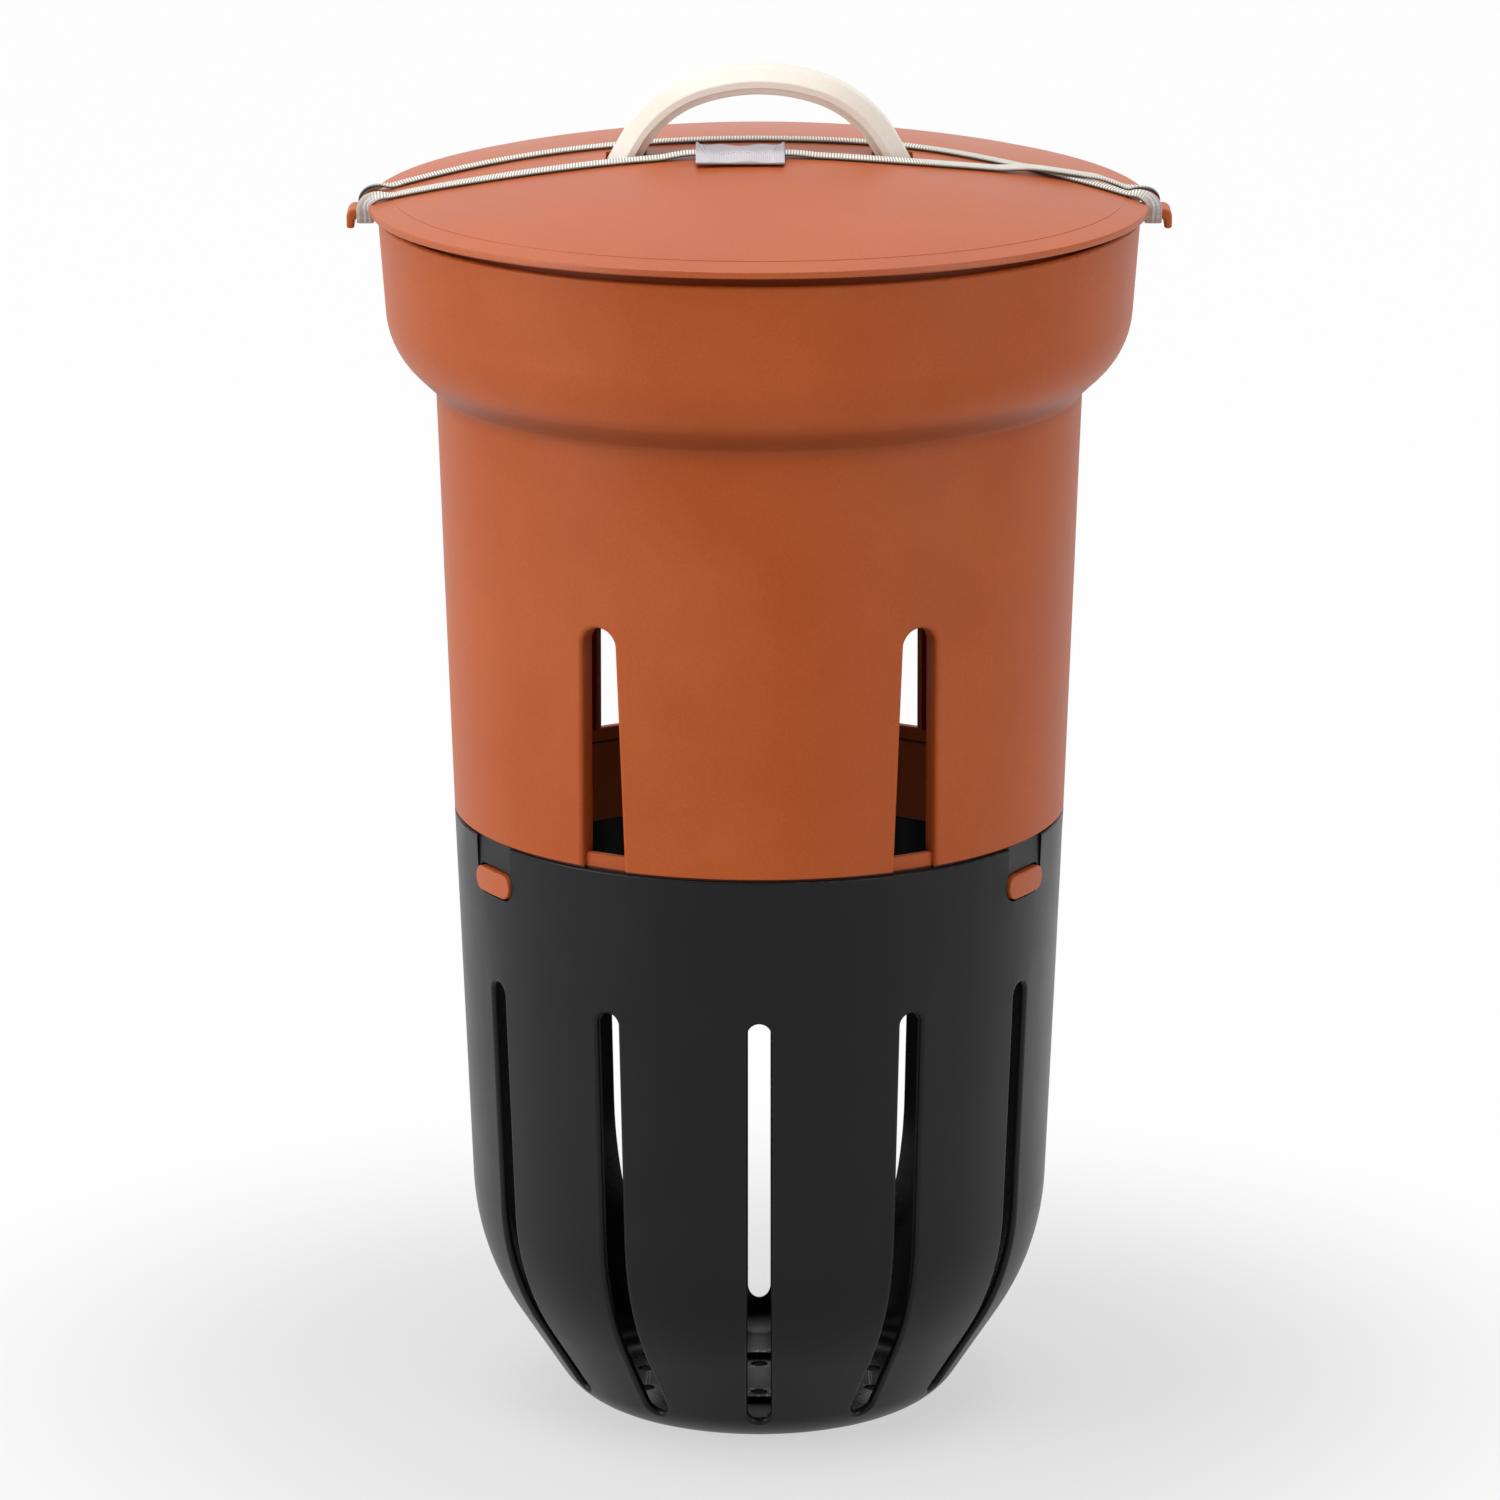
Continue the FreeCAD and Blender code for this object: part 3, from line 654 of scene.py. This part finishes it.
@dataclass
class StrapTag:
    """The padded label on the front strand: thick over the strap, thin at its front edge.

    Sizes are in millimetres, and a share is a part of the way from the front edge to the rear edge. A form
    begins to grow at its _from and is full after its _over.

    Attributes:
        end_thick: Thickness at both ends, as a part of the full one.
        top_turn: Sine of the turn around the section from which a point is wholly on the top.
        hem: Distance of an end's seam from that end, at half share.
        waves: Each slack wave's height, phase for a millimetre along, phase from front to rear, and start.
        stitch_half: Half of a stitch as a part of the step from stitch to stitch.
        stitch_raise: Height of a stitch's middle over the cloth, in thicknesses.
        row_reach: The part of the label's length that the plain row takes.
    """

    centre_x: float = -7.5
    length: float = 35.0
    front_y: float = -35.0
    rear_y: float = -11.0
    low_front_z: float = 516.05
    low_rear_z: float = 516.2
    top_front_z: float = 517.3
    top_rear_z: float = 519.95
    slope_share: float = 0.66
    front_round: float = 0.7
    rear_round: float = 2.2
    end_round: float = 1.1
    end_thick: float = 0.72
    top_turn: float = 0.3
    strap_y: float = -17.0
    strap_lift: float = 1.75
    tunnel_depth: float = 7.4
    tunnel_height: float = 2.1
    tunnel_inset: float = 0.4
    hem: float = 3.2
    hem_dip: float = 0.55
    hem_width: float = 0.7
    hem_from: float = 0.25
    hem_over: float = 0.3
    fold_share: float = 0.3
    fold_dip: float = 0.28
    fold_width: float = 0.035
    waves: tuple[tuple[float, ...], ...] = ((0.3, 0.42, 5.0, 0.0), (0.2, 0.23, -3.0, 1.3))
    wave_over: float = 6.0
    corner_lift: float = 1.3
    corner_reach: float = 2.2
    corner_from: float = 0.62
    corner_over: float = 0.3
    stitch_thick: float = 0.42
    stitch_half: float = 0.32
    stitch_raise: float = 0.3
    hem_stitches: int = 11
    hem_row_from: float = 0.03
    hem_row_span: float = 0.9
    row_stitches: int = 15
    row_share: float = 0.36
    row_reach: float = 0.62
    dome: Dome = field(default_factory=Dome)

    @property
    def strap_z(self) -> float:
        """Height of the strap's middle in the tunnel."""
        return float(self.dome.height(np.array(self.centre_x), np.array(self.strap_y))) + self.strap_lift

    def seam_inset(self, share: Array) -> Array:
        """Distance of an end's seam from that end, which shrinks steadily from front to rear."""
        return self.hem * (1.5 - share)

    def relief(self, to_end: Array, x: Array, share: Array, edges: Array) -> Array:
        """Height of the top's creases over its plain form.

        Slack sine waves less the front hem's fold, fading to the edges and ends, less the seam's dip at each
        end, plus the lift of the rear corners. Fold, seam and corner are bell curves of the distance.

        Args:
            to_end: Distance from the nearer end.
            x: Place along the label, from its middle.
            share: Share of the way to the rear edge.
            edges: Share of the full thickness that the rounded edges leave.

        Returns:
            Heights in millimetres.
        """
        slack = sum(height * np.sin(along * x + back * share + start)
                    for height, along, back, start in self.waves)
        slack = slack - self.fold_dip * bell(share - self.fold_share, self.fold_width)
        seam = bell(to_end - self.seam_inset(share), self.hem_width)
        seam = seam * ease((share - self.hem_from) / self.hem_over)
        corner = bell(to_end, self.corner_reach) * ease((share - self.corner_from) / self.corner_over)
        fade = ease(to_end / self.wave_over) * edges
        return slack * fade - self.hem_dip * seam + self.corner_lift * corner

    def outside(self, along: Array, turn: Array) -> Array:
        """Points of the outer cloth.

        The section runs from the front edge over the top to the rear edge and back below: the top climbs
        with a smooth step and the bottom is straight. Edges and ends are rounded, and the top has creases.

        Args:
            along: Place along the label, from -1 to 1.
            turn: Angle around the section, 0 at the front edge, half a turn at the rear edge.

        Returns:
            Points in millimetres.
        """
        x = along * self.length / 2
        to_end = self.length / 2 - np.abs(x)
        share = (1 - np.cos(turn)) / 2
        depth = self.rear_y - self.front_y
        low = self.low_front_z + (self.low_rear_z - self.low_front_z) * share
        climb = ease(0.5 + 0.5 * share / self.slope_share) * 2 - 1
        high = self.top_front_z + (self.top_rear_z - self.top_front_z) * climb
        edges = quarter_round(share * depth, self.front_round)
        edges = edges * quarter_round((1 - share) * depth, self.rear_round)
        ends = self.end_thick + (1 - self.end_thick) * quarter_round(to_end, self.end_round)
        half = (high - low) / 2 * edges * ends
        on_top = ease(np.sin(turn) / self.top_turn)
        z = (high + low) / 2 + np.sign(np.sin(turn)) * half
        z = z + on_top * self.relief(to_end, x, share, edges)
        return np.stack([self.centre_x + x, self.front_y + depth * share, z], axis=-1)

    def inside(self, along: Array, turn: Array) -> Array:
        """Points of the tunnel for the strap: a slot whose height follows the root of the turn's sine.

        Args:
            along: Place along the tunnel, from -1 to 1.
            turn: Angle around its section, 0 at the front.

        Returns:
            Points in millimetres.
        """
        x = self.centre_x + along * (self.length / 2 - self.tunnel_inset)
        y = self.strap_y - np.cos(turn) * self.tunnel_depth / 2
        z = self.strap_z + np.sign(np.sin(turn)) * np.abs(np.sin(turn)) ** 0.5 * self.tunnel_height / 2
        return np.stack([x, y, z], axis=-1)

    def build_sleeve(self) -> Object:
        """Makes the label as one closed skin: over the outside, round the lip, back through the tunnel.

        Its map runs along the skin and around it: from the front edge over the top to the rear edge at one
        half, and back below.

        Returns:
            The label, standing for the plain CAD tag.
        """
        rows, columns, inner_rows = 150, 128, 24
        turn = np.linspace(0, math.tau, columns, endpoint=False)[None, :]
        along = np.sin(np.linspace(-math.pi / 2, math.pi / 2, rows))[:, None]
        back = np.linspace(1, -1, inner_rows)[:, None]
        skin = self.outside(*np.broadcast_arrays(along, turn))
        tunnel = self.inside(*np.broadcast_arrays(back, turn))
        points = np.concatenate([skin, tunnel]) * MM
        grid = Grid(rows + inner_rows, columns, close_rows=True)
        row, column = grid.corners()
        share = (1 - np.cos(column * math.tau / columns)) / 4
        around = np.where(column <= columns // 2, share, 1 - share)
        uv = np.stack([row / (rows + inner_rows), around], axis=-1)
        sleeve = make_mesh("tag_label", points.reshape(-1, 3), grid.quads(), uv)
        dress(sleeve, CLOTH.material())
        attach(sleeve, Body.LID.value)
        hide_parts("strap_tag")
        return sleeve

    def stitch_lines(self, rings: int) -> tuple[Array, Array]:
        """Centre lines of the stitches on the label's top: both hems, and one plain row along the slope.

        Args:
            rings: Points along each stitch.

        Returns:
            Places along the label and angles around its section, one line per stitch.
        """
        reach = np.linspace(-self.stitch_half, self.stitch_half, rings)[None, :]
        step = (np.arange(self.hem_stitches)[:, None] + 0.5 + reach) / self.hem_stitches
        from_front = self.hem_row_from + self.hem_row_span * step
        down = np.arccos(1 - 2 * from_front)
        ends = 1 - 2 * self.seam_inset(from_front) / self.length
        row = (np.arange(self.row_stitches)[:, None] + 0.5 + reach) / self.row_stitches
        level = np.full_like(row, math.acos(1 - 2 * self.row_share))
        along = np.concatenate([-ends, ends, (2 * row - 1) * self.row_reach])
        return along, np.concatenate([down, down, level])

    def build_stitches(self) -> Object:
        """Makes the running stitches: each is a short capsule that lies on the cloth.

        A ring of points stands square to the stitch at each point of its line. Its radius falls to almost
        nothing at both ends, by the root of one less the fourth power of the distance from the middle.

        Returns:
            All stitches as one piece.
        """
        rings, sides = 7, 8
        tip, small_step, small_turn = 0.02, 0.005, 0.01
        along, turn = self.stitch_lines(rings)
        swell = np.sqrt(np.clip(1.0 - np.linspace(-1, 1, rings) ** 4, 0.0, 1.0)) + tip
        core = self.outside(along, turn)
        tangent = unit(np.gradient(core, axis=1))
        around_cloth = self.outside(along, turn + small_turn) - core
        outward = unit(np.cross(self.outside(along + small_step, turn) - core, around_cloth))
        outward = unit(outward - tangent * np.sum(outward * tangent, axis=-1, keepdims=True))
        side = np.cross(tangent, outward)
        core = core + outward * (self.stitch_thick * self.stitch_raise)
        spin = np.linspace(0, math.tau, sides, endpoint=False)
        ring = side[..., None, :] * np.cos(spin)[:, None] + outward[..., None, :] * np.sin(spin)[:, None]
        points = core[..., None, :] + ring * (swell * self.stitch_thick / 2)[:, None, None]
        # Three quads close an end of eight sides.
        cap = np.array([[0, 3, 2, 1], [0, 7, 4, 3], [4, 7, 6, 5]])
        quads = np.concatenate([Grid(rings, sides).quads(), cap, cap[:, ::-1] + (rings - 1) * sides])
        faces = (quads[None] + (np.arange(len(core)) * rings * sides)[:, None, None]).reshape(-1, 4)
        thread = make_mesh("tag_stitching", points.reshape(-1, 3) * MM, faces)
        dress(thread, THREAD.material())
        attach(thread, Body.LID.value)
        return thread


# A station of the strap is a centre and a normal, six numbers. These factors give its mirror images.
MIRROR_X = np.array([-1, 1, 1, -1, 1, 1])
MIRROR_Y = np.array([1, -1, 1, 1, -1, 1])


@dataclass
class ElasticStrap:
    """The flat elastic loop: two strands over the lid, crossed at the right, hooked under both ears.

    Sizes are in millimetres. A form begins to grow at its _from and is full after its _over.

    Attributes:
        route: A strand's place along X and its distance from the middle plane, below zero past the crossing.
        route_ease: Distance before and after a place over which the route is evened out.
        corner_turn: Twist in degrees at the stations between a strand's end and the ear.
        corner_past, corner_down: How far those stations lie past the strand's end and below it.
        left_out, right_out: How far they lie outwards of it, at the left ear and at the right one.
        rise_start, rise_length: Distance from the tag where the front strand falls, and length of its fall.
        edge_power, face_power: Powers of cosine and sine that square off the section's edges and faces.
        rib_edge_power: Power of the distance from the middle by which a rib fades to the band's edges.
        edge_shade_from, edge_shade_over, edge_shade_rise: The painted shade of the lower edges in half
        widths, its end in half heights.
    """

    width: float = 6.8
    thickness: float = 1.7
    lift: float = 1.1
    route: tuple[tuple[float, float], ...] = (
        (-146.0, 11.0), (-100.0, 18.8), (-58.0, 18.8), (-28.0, 17.0),
        (28.0, 17.0), (58.0, 18.8), (146.0, -6.65),
    )
    route_ease: float = 22.0
    crossing_x: float = 123.0
    crossing_half: float = 12.0
    crossing_lift: float = 1.95
    crossing_before: float = 20.0
    crossing_after: float = 11.0
    corner_turn: tuple[float, ...] = (24.0, 56.0, 88.0)
    corner_past: tuple[float, ...] = (4.6, 8.6, 10.2)
    corner_down: tuple[float, ...] = (0.1, 2.0, 4.8)
    left_out: tuple[float, ...] = (0.2, 0.0, -0.9)
    right_out: tuple[float, ...] = (0.6, 1.9, 2.8)
    full_turn: float = 120.0
    end_x: float = 156.2
    hook_y: float = 8.95
    hook_top_z: float = 490.9
    hook_low_z: float = 488.05
    bend: float = 2.15
    rise_start: float = 1.0
    rise_length: float = 14.0
    rib_pitch: float = 1.15
    rib_height: float = 0.14
    points_per_rib: int = 6
    pulled_from_x: float = 149.0
    pulled_over: float = 6.0
    stretch_from_z: float = 489.6
    stretch_to_z: float = 495.0
    edge_power: float = 0.3
    face_power: float = 0.5
    rib_edge_power: float = 6.0
    edge_shade_from: float = 0.7
    edge_shade_over: float = 0.15
    edge_shade_rise: float = 0.5
    dome: Dome = field(default_factory=Dome)
    tag: StrapTag = field(default_factory=StrapTag)

    def strand(self, front: bool) -> Array:
        """Stations of one strand where it lies on the lid, from left to right.

        A strand's distance from the middle plane is the mean of its route within the easing length, which
        narrows to nothing at both ends. The front strand is lifted over the back one where they cross, and
        level through the tag.

        Args:
            front: Whether it is the strand that carries the tag.

        Returns:
            For each station its centre and its normal, six numbers.
        """
        stations, samples = 53, 31
        place, offset = np.array(self.route).T
        x = np.linspace(place[0], place[-1], stations)
        reach = np.minimum(self.route_ease, np.minimum(x - place[0], place[-1] - x))[:, None]
        near = x[:, None] + reach * np.linspace(-1, 1, samples)
        y = np.interp(near, place, offset).mean(axis=1) * (-1.0 if front else 1.0)
        z = self.dome.height(x, y) + self.lift
        if front:
            before = (self.crossing_x - self.crossing_half - x) / self.crossing_before
            after = (x - self.crossing_x - self.crossing_half) / self.crossing_after
            z = z + self.crossing_lift * (1 - ease(np.maximum(before, after)))
            away = np.abs(x - self.tag.centre_x) - self.tag.length / 2 - self.rise_start
            z = z + (self.tag.strap_z - z) * (1 - ease(away / self.rise_length))
        return np.concatenate([np.stack([x, y, z], axis=-1), self.dome.normal(x, y)], axis=-1)

    def ear_turn(self, start: Array, out: tuple[float, ...]) -> Array:
        """Stations at the right ear, from a strand's end at its front to a strand's end at its back.

        The band twists about the direction (1, 1, -1) until it hangs beside the ear, goes down, under its
        arm by a quarter circle and up, and twists back as a mirror image. A twisted normal is the upright
        times the cosine, plus the cross product of axis and upright times the sine, plus the upright's
        part along the axis times one less the cosine.

        Args:
            start: The last station of the strand that comes down in front of the ear.
            out: How far the corner's stations lie outwards of it.

        Returns:
            Stations, six numbers each.
        """
        bend_stations = 6
        axis = unit(np.array([1.0, 1.0, -1.0]))
        upright = np.array([0.0, 0.0, 1.0])
        shift = np.stack([self.corner_past, np.negative(out), np.negative(self.corner_down)], axis=-1)
        beside = np.array([[self.end_x, -self.hook_y, self.hook_top_z]])
        angle = np.radians([*self.corner_turn, self.full_turn])[:, None]
        normal = (upright * np.cos(angle) + np.cross(axis, upright) * np.sin(angle)
                  + axis * (axis @ upright) * (1 - np.cos(angle)))
        corner = np.concatenate([np.concatenate([start[:3] + shift, beside]), normal], axis=-1)
        swing = np.linspace(0, math.pi / 2, bend_stations)
        under = np.stack([
            np.full(bend_stations, self.end_x),
            -self.hook_y + self.bend * (1 - np.cos(swing)),
            self.hook_low_z + self.bend * (1 - np.sin(swing)),
            np.zeros(bend_stations), -np.cos(swing), -np.sin(swing),
        ], axis=-1)
        half = np.concatenate([corner, under])
        return np.concatenate([half, half[::-1] * MIRROR_Y])

    def loop(self) -> Array:
        """Joins the front strand, the right ear, the back strand and the left ear.

        Returns:
            All stations round the loop, six numbers each.
        """
        front, back = self.strand(True), self.strand(False)
        right = self.ear_turn(back[-1], self.right_out)[::-1]
        left = self.ear_turn(front[0] * MIRROR_X, self.left_out)[::-1] * MIRROR_X
        return np.concatenate([front, right, back[::-1], left])

    def smooth_path(self) -> tuple[Array, Array, Array, float]:
        """Even points along the loop.

        They lie on a cubic that passes each station with the slope between its neighbours.

        Returns:
            Centres, width directions, normals, and the loop's length.
        """
        stations = self.loop()
        closed = np.concatenate([stations, stations[:1]])
        chord = np.linalg.norm(np.diff(closed[:, :3], axis=0), axis=1)
        at = np.concatenate([[0.0], np.cumsum(chord)])
        length = at[-1]
        before, after = np.roll(stations, 1, axis=0), np.roll(stations, -1, axis=0)
        slope = (after - before) / (np.roll(chord, 1) + chord)[:, None]
        slope = np.concatenate([slope, slope[:1]])
        ribs = round(length / self.rib_pitch)
        wanted = np.linspace(0, length, ribs * self.points_per_rib, endpoint=False)
        index = np.clip(np.searchsorted(at, wanted, side="right") - 1, 0, len(chord) - 1)
        span = chord[index][:, None]
        t = (wanted - at[index])[:, None] / span
        run = ((1 + 2 * t) * (1 - t) ** 2 * closed[index] + t * (1 - t) ** 2 * span * slope[index]
               + t * t * (3 - 2 * t) * closed[index + 1] + t * t * (t - 1) * span * slope[index + 1])
        centre = run[:, :3]
        tangent = unit(np.roll(centre, -1, axis=0) - np.roll(centre, 1, axis=0))
        normal = unit(run[:, 3:] - tangent * np.sum(run[:, 3:] * tangent, axis=1, keepdims=True))
        return centre, np.cross(normal, tangent), normal, length

    def finish(self, ribs: int) -> KnittedElastic:
        """The band's finish, with as many ribs as the loop has."""
        return KnittedElastic("grey_knitted_elastic", yarn="F4F2E7", furrow="5F615A", lower_edge_shade="26241F",
                              stripes=ELASTIC_STRIPES, ribs=ribs, threads=5)

    def build(self) -> Object:
        """Makes the band: a rounded flat section carried along the path, thinner between its ribs.

        The section is a circle squared off by powers of its cosine and sine. A cosine along the path thins
        it from rib to rib, less towards the edges and where the band is pulled.

        Returns:
            The strap, standing for the plain CAD strap, running between barrel and lid.
        """
        centre, wide, normal, length = self.smooth_path()
        rows, columns = len(centre), 24
        turn = np.linspace(0, math.tau, columns, endpoint=False)
        cosine, sine = np.cos(turn), np.sin(turn)
        across = np.sign(cosine) * np.abs(cosine) ** self.edge_power * self.width / 2
        up = np.sign(sine) * np.abs(sine) ** self.face_power * self.thickness / 2
        from_middle = np.abs(across) / (self.width / 2)
        phase = np.arange(rows) * (math.tau / self.points_per_rib)
        pulled = ease((np.abs(centre[:, 0]) - self.pulled_from_x) / self.pulled_over)
        inner = np.clip(1 - from_middle ** self.rib_edge_power, 0, 1)
        furrow = ((1 - np.cos(phase)) * (1 - pulled))[:, None] * inner[None, :]
        high = up * (1 - (self.rib_height / self.thickness) * furrow)
        points = centre[:, None] + wide[:, None] * across[None, :, None] + normal[:, None] * high[..., None]
        grid = Grid(rows, columns, close_rows=True)
        row, column = grid.corners()
        uv = np.stack([row / rows, column / columns], axis=-1)
        strap = make_mesh("elastic_band", points.reshape(-1, 3) * MM, grid.quads()[:, ::-1], uv[:, ::-1])
        # Painted shade: the band's edges darken towards its underside.
        below = ease(0.5 - sine / self.edge_shade_rise)
        lower_edge_shade = ease((from_middle - self.edge_shade_from) / self.edge_shade_over) * below
        marks = {
            BandMark.LOWER_EDGE_SHADE: lower_edge_shade[None, :],
            BandMark.ACROSS: across[None, :] / self.width + 0.5,
            BandMark.PULLED: pulled[:, None],
        }
        for mark, values in marks.items():
            layer = strap.data.attributes.new(mark.value, "FLOAT", "POINT")
            spread = np.broadcast_to(values, (rows, columns))
            layer.data.foreach_set("value", spread.astype(np.float32).ravel())
        ribs = rows // self.points_per_rib
        dress(strap, self.finish(ribs).material())
        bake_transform(strap)
        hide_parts("elastic_strap")
        log.info("strap loop %.1f mm long with %d ribs", length, ribs)
        return strap


@dataclass(frozen=True)
class Lamp:
    """One soft box of the studio.

    Attributes:
        name: Name of the lamp.
        place: Where it hangs, in metres.
        side: Length of its square side, in metres.
        watts: Its power.
    """

    name: str
    place: tuple[float, float, float]
    side: float
    watts: float

    def hang(self, target: tuple[float, float, float]) -> None:
        """Adds the lamp to the scene, facing a point.

        Args:
            target: The point that it faces, in metres.
        """
        light = bpy.data.lights.new(self.name, "AREA")
        light.size = self.side
        light.energy = self.watts
        lamp = bpy.data.objects.new(self.name, light)
        lamp.location = self.place
        aim = np.array(target) - np.array(self.place)
        level = math.hypot(aim[0], aim[1])
        lamp.rotation_euler = (math.atan2(level, -aim[2]), 0.0, math.atan2(-aim[0], aim[1]))
        bpy.context.scene.collection.objects.link(lamp)


@dataclass
class Studio:
    """Pale floor, soft boxes, white surroundings and the photograph's camera. Metres and radians.

    Attributes:
        near_glow, far_glow: The floor's share of plain white by the object and away from it.
        glow_from, glow_to: Distances from the axis between which that share grows.
        room, backdrop: Brightness of the dim room in front and of the white backdrop behind.
        spill: Share of that brightness that falls on things.
        room_end, backdrop_start: Cosines of the angle from the backdrop's side between which they blend.
    """

    floor_side: float = 40.0
    floor_colour: str = "C8C8C8"
    near_glow: float = 0.58
    far_glow: float = 0.98
    glow_from: float = 0.16
    glow_to: float = 0.42
    room: float = 0.12
    backdrop: float = 1.0
    spill: float = 0.6
    backdrop_side: tuple[float, float, float] = (-0.6, 0.8, 0.0)
    room_end: float = -0.35
    backdrop_start: float = 0.45
    camera_back: float = 3.4
    camera_height: float = 1.15052
    camera_dip: float = 0.25351
    focal_px: float = 8701.0
    axis_px: float = 759.25
    sensor_mm: float = 36.0
    aim: tuple[float, float, float] = (0.0, 0.0, 0.3)
    lamps: tuple[Lamp, ...] = (
        Lamp("top_soft_box", (-0.1, -0.3, 2.4), side=2.2, watts=43.0),
        Lamp("left_soft_box", (-2.3, -1.15, 0.7), side=1.7, watts=39.0),
        Lamp("right_soft_box", (2.2, -1.3, 0.65), side=1.5, watts=24.0),
    )

    def seen_straight(self, tree: NodeTree) -> NodeSocket:
        """Adds one for rays from the camera, gloss or glass, and nought for light that falls on things.

        Args:
            tree: The node tree that it goes into.

        Returns:
            The output socket.
        """
        path = add_node(tree, "LightPath").node.outputs
        two = add_node(tree, "Math", {0: path["Is Camera Ray"], 1: path["Is Glossy Ray"]},
                       operation="MAXIMUM")
        return add_node(tree, "Math", {0: two, 1: path["Is Transmission Ray"]}, operation="MAXIMUM")

    def lay_floor(self) -> None:
        """Makes the pale floor, which glows where it is seen and still takes the shadow."""
        half = self.floor_side / 2
        corners = np.array([[-1, -1, 0], [1, -1, 0], [1, 1, 0], [-1, 1, 0]]) * half
        floor = make_mesh("floor", corners, np.array([[0, 1, 2, 3]]))
        made = blank_material("white_paper")
        tree = made.node_tree
        add = partial(add_node, tree)
        paper = add("BsdfDiffuse", {"Color": linear(self.floor_colour)})
        glow = add("Emission", {"Color": WHITE, "Strength": 1.0})
        place = add("TexCoord", out="Object")
        distance = add("VectorMath", {0: place}, operation="LENGTH", out=1)
        glowing = add("MapRange", {
            "Value": distance, "From Min": self.glow_from, "From Max": self.glow_to,
            "To Min": self.near_glow, "To Max": self.far_glow,
        }, interpolation_type="SMOOTHSTEP")
        share = add("Math", {0: self.seen_straight(tree), 1: glowing}, operation="MULTIPLY")
        both = add("MixShader", {0: share, 1: paper, 2: glow})
        add("OutputMaterial", {"Surface": both})
        dress(floor, made)

    def surround(self) -> None:
        """Makes the surroundings.

        They are white to the camera, and to gloss a white backdrop behind and a dim room in front. Less
        light spills from the backdrop on to things than gloss shows of it.
        """
        world = bpy.data.worlds.new("white_room")
        world.use_nodes = True
        tree = world.node_tree
        tree.nodes.clear()
        add = partial(add_node, tree)
        heading = add("TexCoord", out="Generated")
        behind = add("VectorMath", {0: heading, 1: self.backdrop_side}, operation="DOT_PRODUCT", out=1)
        lit = add("MapRange", {
            "Value": behind, "From Min": self.room_end, "From Max": self.backdrop_start,
            "To Min": self.room, "To Max": self.backdrop,
        }, interpolation_type="SMOOTHSTEP")
        spilt = add("Math", {0: lit, 1: self.spill}, operation="MULTIPLY")
        mirrored = add("Mix", {
            MIX_SHARE: self.seen_straight(tree), NUMBER_A: spilt, NUMBER_B: lit,
        }, data_type="FLOAT")
        seen = add("LightPath", out="Is Camera Ray")
        strength = add("Mix", {MIX_SHARE: seen, NUMBER_A: mirrored, NUMBER_B: 1.0}, data_type="FLOAT")
        sky = add("Background", {"Color": WHITE, "Strength": strength})
        add("OutputWorld", {"Surface": sky})
        bpy.context.scene.world = world

    def set_camera(self) -> None:
        """Puts the camera at the photograph's view, with a shift that keeps the axis on its pixel."""
        lens = bpy.data.cameras.new("photo_camera")
        lens.sensor_width = self.sensor_mm
        lens.lens = self.focal_px * self.sensor_mm / PHOTO_SIDE_PX
        lens.shift_x = (PHOTO_SIDE_PX / 2 - self.axis_px) / PHOTO_SIDE_PX
        camera = bpy.data.objects.new("photo_camera", lens)
        camera.location = (0.0, -self.camera_back, self.camera_height)
        camera.rotation_euler = (math.pi / 2 - self.camera_dip, 0.0, 0.0)
        bpy.context.scene.collection.objects.link(camera)
        bpy.context.scene.camera = camera

    def build(self) -> None:
        """Sets up the whole studio."""
        bpy.context.scene.view_settings.view_transform = "Standard"
        self.lay_floor()
        self.surround()
        for lamp in self.lamps:
            lamp.hang(self.aim)
        self.set_camera()


def main() -> None:
    """Builds the composter's pieces in order, then the studio."""
    logging.basicConfig(level=logging.INFO, format="%(message)s")
    Vessels().dress()
    strap = ElasticStrap()
    for piece in (strap.build(), strap.tag.build_sleeve(), strap.tag.build_stitches()):
        log.info("piece %s has %d faces", piece.name, len(piece.data.polygons))
    Studio().build()


if __name__ == "__main__":
    main()
